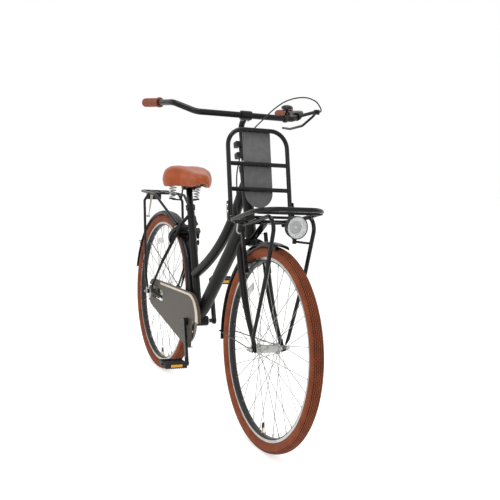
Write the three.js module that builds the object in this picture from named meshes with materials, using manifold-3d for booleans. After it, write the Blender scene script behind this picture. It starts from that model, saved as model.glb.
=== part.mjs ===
// Dutch city bike with a low curved frame, a front carrier with a back rest, and a rear carrier.
// Millimetres. +X is forwards, +Y is the rider's left, +Z is up, and the ground is at Z = 0.
// Lengths along the bike are measured from the rear axle, and the last lines centre the bike.
import * as THREE from 'three';
import { mergeVertices } from 'three/addons/utils/BufferGeometryUtils.js';
import Module from 'manifold-3d';

const wasm = await Module();
wasm.setup();

// Clearances
const gap = 0.3;
const overrun = 4;

// Wheels
const wheelbase = 1091;
const wheelFacets = 36;
const rimRadius = 317;
const rimDepth = 15;
const rimInnerRadius = rimRadius - rimDepth;
const tyreHeight = 40;
const tyreRadius = rimRadius + tyreHeight;
const tyreWidth = 46;
const tyreWall = 4.5;
const treadWidth = 24;
const rimWidth = 25;
const rimBedWidth = 13;
const rimTrack = 10;
const spokeRadius = 1.1;
const spokeCount = 36;
const spokeLean = 56;
const axleRadius = 4.8;
const frontHubWidth = 74;
const frontHubRadius = 14;
const frontFlangeRadius = 21;
const rearHubWidth = 62;
const rearHubRadius = 27;
const rearFlangeRadius = 34;
const flangeThickness = 3.2;
const hubNoseRadius = 10;
const frontDropSpacing = 100;
const rearDropSpacing = 124;
const dropThickness = 5;
const spacerWidth = 3;

// Frame
const headAngle = 69;
const seatAngle = 69;
const forkRake = 55;
const chainstayReach = 445;
const bracketHeight = 312;
const shellRadius = 21;
const shellHalf = 34;
const shellBore = 17;
const seatTubeLength = 496;
const seatTubeRadius = 16;
const seatBoreRadius = 13.9;
const seatBoreDepth = 330;
const topTube = { radius: 20, low: 497, high: 917, lowLead: 260, highLead: 220 };
const topTubeLowAngle = 27;
const topTubeHighAngle = 62;
const downTube = { radius: 26, top: 800, rise: 16, setback: 10 };
const headTube = { radius: 20, bore: 15.5, start: 414, length: 262, collar: 16, wall: 2 };
const stayRadius = 7;

// Steering
const steererRadius = 14.3;
const steererBore = 11.3;
const crownHeight = 392;
const bladeHalf = 50;
const bladeTopRadius = 13;
const bladeTipRadius = 7;
const quillRadius = 11;
const stemClampHeight = 857;
const stemReach = 48;
const barRadius = 11.1;
const gripRadius = 16.5;

// Drive
const chainLine = 46;
const chainWidth = 7;
const chainringRadius = 77;
const sprocketRadius = 36;
const crankLength = 170;
const crankThickness = 11;
const crankFace = 72;
const crankTilt = 20;
const spindleRadius = 8.5;
const pedalPinRadius = 5;

// Carriers and fenders
const carrierTilt = 15;
const carrierReach = 1215;
const carrierHeight = 850;
const trayHalf = 125;
const trayLength = 275;
const carrierTubeRadius = 8;
const strutHalf = 75;
const restHalf = 116;
const restHeight = 328;
const fenderRadius = 367;
const fenderHalf = 27;
const fenderWall = 2;
const fenderCrown = 3;
const fenderSkirt = 14;
const stayWireRadius = 2;

const axleHeight = tyreRadius * Math.cos(Math.PI / wheelFacets);
const rad = THREE.MathUtils.degToRad;
const deg = THREE.MathUtils.radToDeg;
const v = (x, y, z) => new THREE.Vector3(x, y, z);
const at = (place) => v(place.x, place.y, place.z);
const flip = (points) => points.map((p) => v(p.x, -p.y, p.z));
const sides = [-1, 1];
const sideNames = new Map([[-1, 'right'], [1, 'left']]);
// The low and high end of a span on one side, given by its distances from the middle plane.
const span = (side, near, far) => (side > 0 ? [near, far] : [-far, -near]);

// Turns a geometry into a solid for cutting and joining, and back again.
function toSolid(geometry) {
  const bare = geometry.clone();
  bare.deleteAttribute('normal');
  bare.deleteAttribute('uv');
  const merged = mergeVertices(bare, 1e-4);
  return new wasm.Manifold(new wasm.Mesh({
    numProp: 3,
    vertProperties: Float32Array.from(merged.attributes.position.array),
    triVerts: Uint32Array.from(merged.index.array),
  }));
}

function toGeometry(solid) {
  const mesh = solid.getMesh();
  const positions = new Float32Array(mesh.numVert * 3);
  for (let i = 0; i < mesh.numVert; i += 1) {
    for (let k = 0; k < 3; k += 1) positions[i * 3 + k] = mesh.vertProperties[i * mesh.numProp + k];
  }
  const geometry = new THREE.BufferGeometry();
  geometry.setAttribute('position', new THREE.BufferAttribute(positions, 3));
  geometry.setIndex(new THREE.BufferAttribute(Uint32Array.from(mesh.triVerts), 1));
  geometry.computeVertexNormals();
  return geometry;
}

const join = (...geometries) => toGeometry(
  geometries.map(toSolid).reduce((total, solid) => total.add(solid)),
);
const cut = (geometry, ...tools) => toGeometry(
  tools.map(toSolid).reduce((total, tool) => total.subtract(tool), toSolid(geometry)),
);

// A path through fixed points, so that a tube gets one ring at each of them.
class PointPath extends THREE.Curve {
  constructor(points) {
    super();
    this.points = points;
  }

  getPoint(t, target = new THREE.Vector3()) {
    const last = this.points.length - 1;
    const place = Math.min(Math.max(t, 0), 1) * last;
    const i = Math.min(Math.floor(place), last - 1);
    return target.lerpVectors(this.points[i], this.points[i + 1], place - i);
  }

  getTangent(t, target = new THREE.Vector3()) {
    const last = this.points.length - 1;
    const i = Math.round(Math.min(Math.max(t, 0), 1) * last);
    const here = this.points[i];
    target.set(0, 0, 0);
    if (i > 0) target.add(here.clone().sub(this.points[i - 1]).normalize());
    if (i < last) target.add(this.points[i + 1].clone().sub(here).normalize());
    return target.normalize();
  }

  getUtoTmapping(u) {
    return u;
  }

  getSpacedPoints() {
    return this.points.map((point) => point.clone());
  }
}

// Rounds each corner of a list of points with an arc of the given radius.
function bend(points, radius, stepAngle = 36) {
  const result = [points[0].clone()];
  for (let i = 1; i < points.length - 1; i += 1) {
    const corner = points[i];
    const back = points[i - 1].clone().sub(corner).normalize();
    const ahead = points[i + 1].clone().sub(corner).normalize();
    const turn = Math.PI - back.angleTo(ahead);
    const steps = Math.max(1, Math.ceil(turn / rad(stepAngle)));
    const start = corner.clone().addScaledVector(back, radius * Math.tan(turn / 2));
    const middle = back.clone().add(ahead).normalize();
    const centre = corner.clone().addScaledVector(middle, radius / Math.cos(turn / 2));
    const axis = ahead.clone().cross(back).normalize();
    for (let k = 0; k <= steps; k += 1) {
      const arm = start.clone().sub(centre).applyAxisAngle(axis, (turn * k) / steps);
      result.push(centre.clone().add(arm));
    }
  }
  result.push(points.at(-1).clone());
  return result;
}

function circle(radius, count) {
  const points = [];
  for (let i = 0; i < count; i += 1) {
    const angle = (2 * Math.PI * (i + 0.5)) / count;
    points.push(new THREE.Vector2(radius * Math.cos(angle), radius * Math.sin(angle)));
  }
  return points;
}

// Sweeps a closed outline along points, with closed ends.
function sweep(outline, points) {
  return new THREE.ExtrudeGeometry(new THREE.Shape(outline), {
    steps: points.length - 1,
    extrudePath: new PointPath(points),
    bevelEnabled: false,
  });
}

const tube = (points, radius, count = 8) => sweep(circle(radius, count), points);
const rod = (a, b, radius, count = 8) => tube([a, b], radius, count);

// A solid of revolution around the Y axis. The profile lists [radius, y].
function turned(profile, segments = 16, phase = 0) {
  const points = profile.map(([r, y]) => new THREE.Vector2(r, y));
  if (THREE.ShapeUtils.isClockWise(points)) points.reverse();
  if (points[0].x > 0 || points.at(-1).x > 0) points.push(points[0].clone());
  return new THREE.LatheGeometry(points, segments, phase);
}

const upright = (geometry) => geometry.rotateX(Math.PI / 2);

// The radius of a faceted bore that leaves the gap all round a shaft.
const around = (radius, segments) => (radius + gap) / Math.cos(Math.PI / segments);
const axleHole = around(axleRadius, 8);

// A ring around the Y axis, and a plain cylinder along Y at x and z.
const collar = (outer, inner, y0, y1, segments = 12) => (
  turned([[inner, y0], [outer, y0], [outer, y1], [inner, y1]], segments)
);
const pin = (radius, y0, y1, x = 0, z = 0, segments = 8) => (
  turned([[0, y0], [radius, y0], [radius, y1], [0, y1]], segments).translate(x, 0, z)
);
const post = (radius, z0, z1, segments = 12) => upright(pin(radius, z0, z1, 0, 0, segments));

function box(x0, x1, y0, y1, z0, z1) {
  const geometry = new THREE.BoxGeometry(x1 - x0, y1 - y0, z1 - z0);
  return geometry.translate((x0 + x1) / 2, (y0 + y1) / 2, (z0 + z1) / 2);
}

// A plate whose outline [x, z] lies in the XZ plane, from y0 to y1.
function plate(outline, y0, y1, holes = []) {
  const flat = (list) => list.map(([x, z]) => new THREE.Vector2(x, z));
  const shape = new THREE.Shape(flat(outline));
  shape.holes = holes.map((hole) => new THREE.Path(flat(hole)));
  const geometry = new THREE.ExtrudeGeometry(shape, { depth: y1 - y0, bevelEnabled: false });
  return geometry.rotateX(Math.PI / 2).translate(0, y1, 0);
}

// Points of an arc in the XZ plane, between two angles in degrees.
function arc(x, z, radius, from, to, steps) {
  const points = [];
  for (let i = 0; i <= steps; i += 1) {
    const angle = rad(from + ((to - from) * i) / steps);
    points.push([x + radius * Math.cos(angle), z + radius * Math.sin(angle)]);
  }
  return points;
}

// The outline of a belt around two circles, as the points of two arcs.
function belt(front, frontRadius, rear, rearRadius, frontSteps, rearSteps) {
  const distance = Math.hypot(front.x - rear.x, front.z - rear.z);
  const tilt = deg(Math.atan2(front.z - rear.z, front.x - rear.x));
  const open = deg(Math.asin((frontRadius - rearRadius) / distance));
  return [
    ...arc(front.x, front.z, frontRadius, tilt - 90 - open, tilt + 90 + open, frontSteps),
    ...arc(rear.x, rear.z, rearRadius, tilt + 90 + open, tilt + 270 - open, rearSteps),
  ];
}

// The point between a and b whose distance from centre, seen from the side, is radius.
function atRadius(a, b, centre, radius) {
  const run = b.clone().sub(a);
  const off = a.clone().sub(centre);
  const p = run.x * run.x + run.z * run.z;
  const q = off.x * run.x + off.z * run.z;
  const r = off.x * off.x + off.z * off.z - radius * radius;
  const root = Math.sqrt(q * q - p * r);
  const share = [(-q - root) / p, (-q + root) / p].find((s) => s >= 0 && s <= 1);
  return a.clone().addScaledVector(run, share);
}

function look(color, roughness, metalness = 0) {
  return new THREE.MeshStandardMaterial({ color, roughness, metalness });
}
const satinBlack = () => look(0x1f1d1a, 0.42, 0.35);
const glossBlack = () => look(0x141414, 0.25, 0.3);
const plasticBlack = () => look(0x161616, 0.5);
const rubberBrown = () => look(0x8a4527, 0.85);
const silver = () => look(0xc4c6c8, 0.3, 0.9);
const pearl = () => look(0xd8d0bd, 0.35);

function add(group, name, geometry, material) {
  const mesh = new THREE.Mesh(geometry, material);
  mesh.name = name;
  group.add(mesh);
  return mesh;
}

const bike = new THREE.Group();
const rearAxle = v(0, 0, axleHeight);
const frontAxle = v(wheelbase, 0, axleHeight);
const bracket = v(chainstayReach, 0, bracketHeight);
const fenderOuter = fenderRadius + fenderCrown;

// Steering frame: x points ahead of the steering axis, and z runs up along it.
const rakeBack = rad(90 - headAngle);
const steerUp = v(-Math.sin(rakeBack), 0, Math.cos(rakeBack));
const steerAhead = v(Math.cos(rakeBack), 0, Math.sin(rakeBack));
const steerFoot = frontAxle.clone().addScaledVector(steerAhead, -forkRake);
const fromSteering = (x, y, z) => (
  steerFoot.clone().addScaledVector(steerAhead, x).addScaledVector(steerUp, z).add(v(0, y, 0))
);
const tiltToSteering = (geometry) => (
  geometry.rotateY(-rakeBack).translate(steerFoot.x, 0, steerFoot.z)
);

// Pieces on the steering are either in that frame or, in the riding group, in the bike's frame.
const steering = new THREE.Group();
steering.position.copy(steerFoot);
steering.rotation.y = -rakeBack;
const riding = new THREE.Group();
riding.rotation.y = rakeBack;
riding.position.copy(steerFoot).negate().applyAxisAngle(v(0, 1, 0), rakeBack);
steering.add(riding);
bike.add(steering);

// Wheels: tyre, rim, hub with its spokes, valve and spoke reflector
const rearWheel = new THREE.Group();
rearWheel.position.copy(rearAxle);
bike.add(rearWheel);
const frontWheel = new THREE.Group();
frontWheel.position.copy(frontAxle);
riding.add(frontWheel);
const wheelPhase = Math.PI / wheelFacets;
const facetShare = Math.cos(wheelPhase);
const bothSides = (half) => [...half, ...half.map(([r, y]) => [r, -y]).reverse()];

// Shares of the tyre's height above the rim, and of its tread's width.
const shoulderShare = 0.6;
const treadInnerShare = 0.4;
function makeTyre() {
  const bead = rimRadius + gap;
  const height = tyreRadius - bead;
  const half = tyreWidth / 2;
  return turned(bothSides([
    [tyreRadius, treadWidth / 2],
    [bead + height * shoulderShare, half],
    [bead, rimWidth / 2],
    [bead, rimWidth / 2 - tyreWall],
    [tyreRadius - tyreWall, treadWidth * treadInnerShare],
  ]), wheelFacets, wheelPhase);
}

function makeRim() {
  const half = rimWidth / 2;
  const bed = rimBedWidth / 2;
  return turned(bothSides([
    [rimInnerRadius, bed], [rimRadius - rimTrack, half], [rimRadius, half],
  ]), wheelFacets, wheelPhase);
}

// Spokes lean forwards and backwards in turn, from the outer and the inner face of each flange.
function makeHub(wheel) {
  const half = wheel.width / 2;
  const bore = axleHole;
  const inside = half - flangeThickness;
  const solids = [toSolid(turned(bothSides([
    [bore, wheel.end], [hubNoseRadius, wheel.end], [hubNoseRadius, half],
    [wheel.flange, half], [wheel.flange, inside], [wheel.hub, inside],
  ]), 10))];
  const footRadius = wheel.flange - 2 * spokeRadius;
  const tipRadius = rimInnerRadius * facetShare - 2 * gap;
  const footShift = (flangeThickness + spokeRadius / 2) / 2;
  for (let i = 0; i < spokeCount; i += 1) {
    const side = i % 2 === 0 ? 1 : -1;
    const way = i % 4 < 2 ? 1 : -1;
    const tip = (2 * Math.PI * (i + 0.5)) / spokeCount + rad(wheel.turn);
    const foot = tip + way * rad(spokeLean);
    const footY = side * (half - flangeThickness / 2) + side * way * footShift;
    solids.push(toSolid(rod(
      v(footRadius * Math.cos(foot), footY, footRadius * Math.sin(foot)),
      v(tipRadius * Math.cos(tip), side * spokeRadius, tipRadius * Math.sin(tip)),
      spokeRadius, 3,
    )));
  }
  return toGeometry(solids.reduce((total, solid) => total.add(solid)));
}

// The valve stands on the rim's inner face, halfway between two spokes.
const valve = { length: 38, radius: 3.2, nut: 4.4 };
const valveNutShare = 0.45;
const valveAngle = 270;
function makeValve(turn) {
  const seat = rimInnerRadius * facetShare - gap;
  const nut = valve.length * valveNutShare;
  const stem = upright(turned([
    [0, seat - valve.length], [valve.radius, seat - valve.length], [valve.radius, seat - nut],
    [valve.nut, seat - nut + valve.nut], [valve.nut, seat], [0, seat],
  ], 8));
  return stem.rotateY(rad(90 - valveAngle - turn));
}

// A flat reflector lies on the outside of the right side's spokes.
const reflector = { length: 62, width: 28, thickness: 5, radius: 232 };
function makeReflector(wheel) {
  const slope = Math.atan2(wheel.width / 2, rimInnerRadius - wheel.flange);
  const inner = reflector.radius - reflector.width / 2;
  const seat = (rimInnerRadius - inner) * Math.tan(slope) + spokeRadius + gap;
  const block = box(
    -reflector.length / 2, reflector.length / 2, -reflector.thickness, 0, 0, reflector.width,
  );
  block.rotateX(-slope).translate(0, -seat, inner);
  return block.rotateY(rad(90 - wheel.reflector));
}

const rearHubEnd = rearDropSpacing / 2 - spacerWidth - 2 * gap;
const wheels = [
  {
    prefix: 'rear', group: rearWheel, width: rearHubWidth, hub: rearHubRadius,
    flange: rearFlangeRadius, end: rearHubEnd, turn: 4.5, reflector: 104,
  },
  {
    prefix: 'front', group: frontWheel, width: frontHubWidth, hub: frontHubRadius,
    flange: frontFlangeRadius, end: frontDropSpacing / 2 - gap, turn: 0, reflector: 129,
  },
];
for (const wheel of wheels) {
  add(wheel.group, `${wheel.prefix}_tyre`, makeTyre(), rubberBrown());
  add(wheel.group, `${wheel.prefix}_rim`, makeRim(), silver());
  add(wheel.group, `${wheel.prefix}_hub`, makeHub(wheel), silver());
  add(wheel.group, `${wheel.prefix}_valve`, makeValve(wheel.turn), look(0xb08a4a, 0.4, 0.8));
  add(wheel.group, `${wheel.prefix}_wheel_reflector`, makeReflector(wheel), pearl());
}

// Main frame
const seatUp = v(-Math.cos(rad(seatAngle)), 0, Math.sin(rad(seatAngle)));
const seatTop = bracket.clone().addScaledVector(seatUp, seatTubeLength);
const dropInner = rearDropSpacing / 2;
const dropOuter = dropInner + dropThickness;
const atHeight = (start, direction, height) => (
  start.clone().addScaledVector(direction, (height - start.z) / direction.z)
);

// Seat stay and chain stay on the left, as corners of their centre lines.
const stayTopHeight = 729;
const stayTopHalf = 14;
const stayShoulder = { x: 261.5, y: 31, z: 697 };
const stayKnee = { x: 108, y: 57, z: 506 };
const stayFoot = { x: 5, z: 376 };
const stayTop = atHeight(bracket, seatUp, stayTopHeight);
const dropMiddle = dropInner + dropThickness / 2;
const seatStay = [
  v(stayTop.x, stayTopHalf, stayTop.z), at(stayShoulder), at(stayKnee),
  v(stayFoot.x, dropMiddle, stayFoot.z),
];
const chainStayHead = { x: 430, y: 26, z: 311 };
const chainStayPass = { x: 375, y: 35, z: 319 };
const chainStayWide = { x: 334, y: 36, z: 320 };
const chainStayRear = { x: 124, y: 44, z: 346 };
const chainStayTurn = { x: 55, y: 60, z: 352 };
const chainStayFoot = { x: 41, z: 354 };
const chainStay = [
  at(chainStayHead), at(chainStayPass), at(chainStayWide), at(chainStayRear), at(chainStayTurn),
  v(chainStayFoot.x, dropMiddle, chainStayFoot.z),
];
const seatStayBend = 40;
const chainStayBend = 14;
const bridgeRadius = 5;

// Shares of the drop-out's length and height, around the axle.
const drop = { length: 56, height: 40 };
const dropShares = [
  [-0.5, -0.3], [0.42, -0.36], [0.9, -0.24], [0.9, 0.12], [0.4, 0.64], [-0.2, 0.64], [-0.5, 0.3],
];
function makeDropout(side) {
  const [y0, y1] = span(side, dropInner, dropOuter);
  const slot = axleHole;
  const outline = dropShares.map(([x, z]) => [x * drop.length, axleHeight + z * drop.height]);
  return cut(
    plate(outline, y0, y1),
    box(-drop.length, 0, y0 - overrun, y1 + overrun, axleHeight - slot, axleHeight + slot),
    pin(slot, y0 - overrun, y1 + overrun, 0, axleHeight),
  );
}

const headEnd = headTube.start + headTube.length;
function makeFrame() {
  const ringRadius = headTube.radius + headTube.wall;
  const head = tiltToSteering(upright(turned([
    [0, headTube.start], [ringRadius, headTube.start],
    [ringRadius, headTube.start + headTube.collar],
    [headTube.radius, headTube.start + headTube.collar + headTube.wall],
    [headTube.radius, headEnd - headTube.collar - headTube.wall],
    [ringRadius, headEnd - headTube.collar], [ringRadius, headEnd], [0, headEnd],
  ], 12)));
  const topLow = atHeight(bracket, seatUp, topTube.low);
  const topHigh = atHeight(steerFoot, steerUp, topTube.high);
  const lowWay = v(Math.cos(rad(topTubeLowAngle)), 0, Math.sin(rad(topTubeLowAngle)));
  const highWay = v(Math.cos(rad(topTubeHighAngle)), 0, Math.sin(rad(topTubeHighAngle)));
  const topCurve = new THREE.CubicBezierCurve3(
    topLow, topLow.clone().addScaledVector(lowWay, topTube.lowLead),
    topHigh.clone().addScaledVector(highWay, -topTube.highLead), topHigh,
  );
  const downStart = bracket.clone().add(v(0, 0, downTube.rise));
  const downEnd = atHeight(steerFoot, steerUp, downTube.top);
  const downWay = downEnd.clone().sub(downStart).normalize();
  downEnd.addScaledVector(downWay, -downTube.setback);
  const parts = [
    head,
    tube(topCurve.getSpacedPoints(7), topTube.radius, 10),
    rod(downStart, downEnd, downTube.radius, 10),
    rod(bracket, seatTop, seatTubeRadius, 10),
    pin(shellRadius, -shellHalf, shellHalf, bracket.x, bracket.z, 12),
  ];
  for (const side of sides) {
    const place = (points) => (side > 0 ? points : flip(points));
    parts.push(tube(bend(place(chainStay), chainStayBend), stayRadius, 6));
    parts.push(tube(bend(place(seatStay), seatStayBend), stayRadius, 6));
    parts.push(makeDropout(side));
  }
  // Bridges that carry the rear fender, between the seat stays and between the chain stays.
  const reach = fenderOuter + gap + bridgeRadius;
  const high = atRadius(seatStay[1], seatStay[2], rearAxle, reach);
  const low = atRadius(chainStay[1], chainStay[2], rearAxle, reach);
  for (const end of [high, low]) parts.push(rod(end, flip([end])[0], bridgeRadius, 6));
  const headHole = tiltToSteering(
    post(headTube.bore, headTube.start - overrun, headEnd + overrun, 12),
  );
  const seatHole = rod(
    seatTop.clone().addScaledVector(seatUp, -seatBoreDepth),
    seatTop.clone().addScaledVector(seatUp, overrun), seatBoreRadius, 12,
  );
  const shellHole = pin(
    shellBore, -shellHalf - overrun, shellHalf + overrun, bracket.x, bracket.z, 12,
  );
  return cut(join(...parts), headHole, seatHole, shellHole);
}
add(bike, 'frame', makeFrame(), satinBlack());

// Bearing unit of the bottom bracket
const bearingRim = 3;
add(bike, 'bottom_bracket', turned([
  [spindleRadius + gap, -shellHalf - bearingRim], [shellRadius - gap, -shellHalf - bearingRim],
  [shellRadius - gap, -shellHalf - gap], [shellBore - gap, -shellHalf - gap],
  [shellBore - gap, shellHalf + gap], [shellRadius - gap, shellHalf + gap],
  [shellRadius - gap, shellHalf + bearingRim], [spindleRadius + gap, shellHalf + bearingRim],
], 12), silver()).position.copy(bracket);

// Clamp around the top of the seat tube, with its bolt lug behind
const seatClamp = { height: 20, wall: 4.5, lug: 12, lugHalf: 8 };
function makeSeatClamp() {
  const outer = seatTubeRadius + seatClamp.wall;
  const ring = upright(collar(outer, around(seatTubeRadius, 12), -seatClamp.height, 0));
  const lug = box(
    -outer - seatClamp.lug, -seatTubeRadius - 2 * gap, -seatClamp.lugHalf, seatClamp.lugHalf,
    seatClamp.wall - seatClamp.height, -seatClamp.wall,
  );
  return join(ring, lug).rotateY(rad(seatAngle - 90)).translate(seatTop.x, 0, seatTop.z);
}
add(bike, 'seat_clamp', makeSeatClamp(), silver());

// Upper headset cup and lock nut
const headsetHeight = 18;
const headsetTop = headEnd + headsetHeight;
const headsetRadius = headTube.radius + headTube.wall;
add(steering, 'headset_nut', upright(turned([
  [around(steererRadius, 12), headEnd + gap], [headsetRadius, headEnd + gap],
  [headsetRadius, headEnd + headsetHeight / 2],
  [headTube.radius - headTube.wall, headsetTop], [around(steererRadius, 12), headsetTop],
], 12)), look(0x3a3a3a, 0.3, 0.7));

// Washers, eyes and nuts follow each other outside the drop-outs.
const nut = { radius: 9.5, width: 9 };
const eyeRadius = 11;
const eyeWidth = 4;
const washerWidth = 2;
const rearEyeStart = dropOuter + washerWidth + 2 * gap;
const rearCarrierEyeStart = rearEyeStart + eyeWidth + gap;
const rearNutStart = rearCarrierEyeStart + eyeWidth + gap;
const frontDropInner = frontDropSpacing / 2 + gap;
const frontDropOuter = frontDropInner + dropThickness;
const frontEyeStart = frontDropOuter + gap;
const frontCarrierEyeStart = frontEyeStart + eyeWidth + gap;
const frontNutStart = frontCarrierEyeStart + eyeWidth + gap;
const axleEnd = 9;

function makeAxle(nutStart) {
  const end = nutStart + nut.width + axleEnd;
  const parts = [pin(axleRadius, -end, end)];
  for (const side of sides) {
    parts.push(pin(nut.radius, ...span(side, nutStart, nutStart + nut.width), 0, 0, 6));
  }
  return join(...parts);
}

// The rear axle also holds its spacers and washers, the brake's reaction arm under the left chain
// stay, and the chain tensioner on the right.
const reaction = { half: 8, length: 118, drop: 25, knee: 34 };
const tensioner = { half: 8, drop: 44, screw: 6, head: 6 };
function makeRearAxle() {
  const parts = [makeAxle(rearNutStart)];
  for (const side of sides) {
    parts.push(pin(nut.radius, ...span(side, dropInner - spacerWidth - gap, dropInner - gap)));
    parts.push(pin(nut.radius, ...span(side, dropOuter + gap, dropOuter + gap + washerWidth)));
  }
  parts.push(plate([
    [-reaction.half, -reaction.half], [0, -nut.radius],
    [reaction.knee, -reaction.drop - reaction.half],
    [reaction.length, -reaction.drop - reaction.half],
    [reaction.length, -reaction.drop + reaction.half],
    [reaction.knee, -reaction.drop + reaction.half], [nut.radius, 0],
    [0, nut.radius], [-reaction.half, reaction.half],
  ], dropInner - spacerWidth - gap, dropInner - gap));
  const outer = -dropOuter - gap;
  parts.push(plate([
    [-tensioner.half, -tensioner.drop], [tensioner.half, -tensioner.drop],
    [tensioner.half, 0], [-tensioner.half, 0],
  ], outer - washerWidth, outer));
  parts.push(pin(
    tensioner.screw, outer - tensioner.head, outer, 0, tensioner.half - tensioner.drop, 6,
  ));
  return join(...parts);
}
add(bike, 'rear_axle', makeRearAxle(), silver()).position.copy(rearAxle);
add(riding, 'front_axle', makeAxle(frontNutStart), silver()).position.copy(frontAxle);

const eye = (y0) => cut(
  pin(eyeRadius, y0, y0 + eyeWidth),
  pin(axleHole, y0 - overrun, y0 + eyeWidth + overrun),
);

// Crankset
const crankset = new THREE.Group();
crankset.position.copy(bracket);
crankset.rotation.y = -rad(crankTilt);
bike.add(crankset);

const ringThickness = 2.4;
const ringHalf = ringThickness / 2;
const ringWindows = 5;
const ringWindowShares = [0.45, 0.82];
const crankBossRadius = 13.5;
function makeChainring() {
  const windows = [];
  const pitch = 360 / ringWindows;
  const spread = pitch / 3;
  const [low, high] = ringWindowShares.map((share) => chainringRadius * share);
  for (let i = 0; i < ringWindows; i += 1) {
    windows.push([
      ...arc(0, 0, high, i * pitch - spread, i * pitch + spread, 3),
      ...arc(0, 0, low, i * pitch + spread, i * pitch - spread, 3),
    ]);
  }
  const outline = circle(chainringRadius, 26).map((p) => [p.x, p.y]);
  return cut(
    plate(outline, -chainLine - ringHalf, -chainLine + ringHalf, windows),
    pin(around(spindleRadius, 12), -chainLine - overrun, -chainLine + overrun, 0, 0, 12),
  );
}
add(crankset, 'chainring', makeChainring(), silver());

// The right crank carries the spindle, and each crank ends in its pedal's pin.
const crankInner = crankFace - crankThickness;
const crank = { hub: 15, tip: 12 };
const crankWaistShares = [0.87, 0.75];
const pedal = { gap: 4, length: 96, width: 78, height: 24, wall: 13, core: 11, pinEnd: 6 };
function makeCrank(side) {
  const down = side * crankLength;
  const hubHalf = crank.hub * crankWaistShares[0];
  const tipHalf = crank.tip * crankWaistShares[1];
  const pinEnd = crankFace + pedal.gap + pedal.length + pedal.pinEnd;
  const parts = [
    pin(crank.hub, ...span(side, crankInner, crankFace), 0, 0, 10),
    pin(crank.tip, ...span(side, crankInner, crankFace), 0, down, 10),
    plate([[-hubHalf, 0], [-tipHalf, down], [tipHalf, down], [hubHalf, 0]],
      ...span(side, crankInner, crankFace)),
    pin(pedalPinRadius, ...span(side, crankInner, pinEnd), 0, down),
  ];
  if (side < 0) {
    const seat = chainLine + ringHalf + gap;
    parts.push(pin(crankBossRadius, -crankInner, -seat, 0, 0, 10));
    parts.push(pin(spindleRadius, -crankInner, crankInner - gap, 0, 0, 12));
  }
  return join(...parts);
}

// A pedal body with an opening on each side of its pin
function makePedal(side) {
  const near = crankFace + pedal.gap;
  const [y0, y1] = span(side, near, near + pedal.length);
  const halfX = pedal.width / 2;
  const halfZ = pedal.height / 2;
  const windows = sides.map((way) => box(
    ...span(way, pedal.core, halfX - pedal.wall), y0 + pedal.wall, y1 - pedal.wall,
    -halfZ - overrun, halfZ + overrun,
  ));
  return cut(
    box(-halfX, halfX, y0, y1, -halfZ, halfZ),
    pin(around(pedalPinRadius, 8), y0 - overrun, y1 + overrun), ...windows,
  );
}
for (const side of sides) {
  add(crankset, `crank_${sideNames.get(side)}`, makeCrank(side), silver());
  const mesh = add(crankset, `pedal_${sideNames.get(side)}`, makePedal(side), plasticBlack());
  mesh.position.z = side * crankLength;
  mesh.rotation.y = rad(crankTilt);
}

// Sprocket on the right end of the rear hub
add(bike, 'rear_sprocket', collar(
  sprocketRadius, hubNoseRadius + gap, -chainLine - ringHalf, -chainLine + ringHalf, 24,
), silver()).position.copy(rearAxle);

// Chain: one closed band around the chainring and the sprocket
const chainHeight = 7.3;
const chainSlack = 1;
const chainInner = [chainringRadius + chainSlack, sprocketRadius + chainSlack];
const chainBelt = (extra) => belt(
  bracket, chainInner[0] + extra, rearAxle, chainInner[1] + extra, 16, 10,
);
add(bike, 'chain', plate(
  chainBelt(chainHeight), -chainLine - chainWidth / 2, -chainLine + chainWidth / 2, [chainBelt(0)],
), look(0x9a9a98, 0.4, 0.9));

// Chain case: a pressed panel with a rim, open below and in front of the bracket
const chainCase = {
  room: 2.8, wall: 1.5, flange: 12, frontRadius: 114, rearRadius: 62, openReach: 50, openHeight: 7,
  notchReach: 128, notchHalf: 24, holeClear: 3,
};
const caseFront = { x: 455, z: 320 };
const caseRear = { x: -5, z: 350 };
const caseOuter = chainLine + chainWidth / 2 + chainCase.room + chainCase.wall;
const caseOutline = (inset) => belt(
  caseFront, chainCase.frontRadius - inset, caseRear, chainCase.rearRadius - inset, 18, 10,
);
function makeChainCase() {
  const y0 = -caseOuter - overrun;
  const y1 = -caseOuter + chainCase.flange + overrun;
  return cut(
    join(
      plate(caseOutline(0), -caseOuter, -caseOuter + chainCase.wall),
      plate(caseOutline(0), -caseOuter, -caseOuter + chainCase.flange,
        [caseOutline(chainCase.wall)]),
    ),
    box(caseFront.x + chainCase.openReach, caseFront.x + 2 * chainCase.frontRadius, y0, y1,
      0, caseFront.z + chainCase.openHeight),
    box(caseRear.x - 2 * chainCase.rearRadius, chainCase.notchReach, y0, y1,
      axleHeight - chainCase.notchHalf, axleHeight + chainCase.notchHalf),
    pin(crankBossRadius + chainCase.holeClear, y0, y1, bracket.x, bracket.z, 16),
  );
}
add(bike, 'chain_case', makeChainCase(), look(0x4a453c, 0.4, 0.1));

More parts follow.
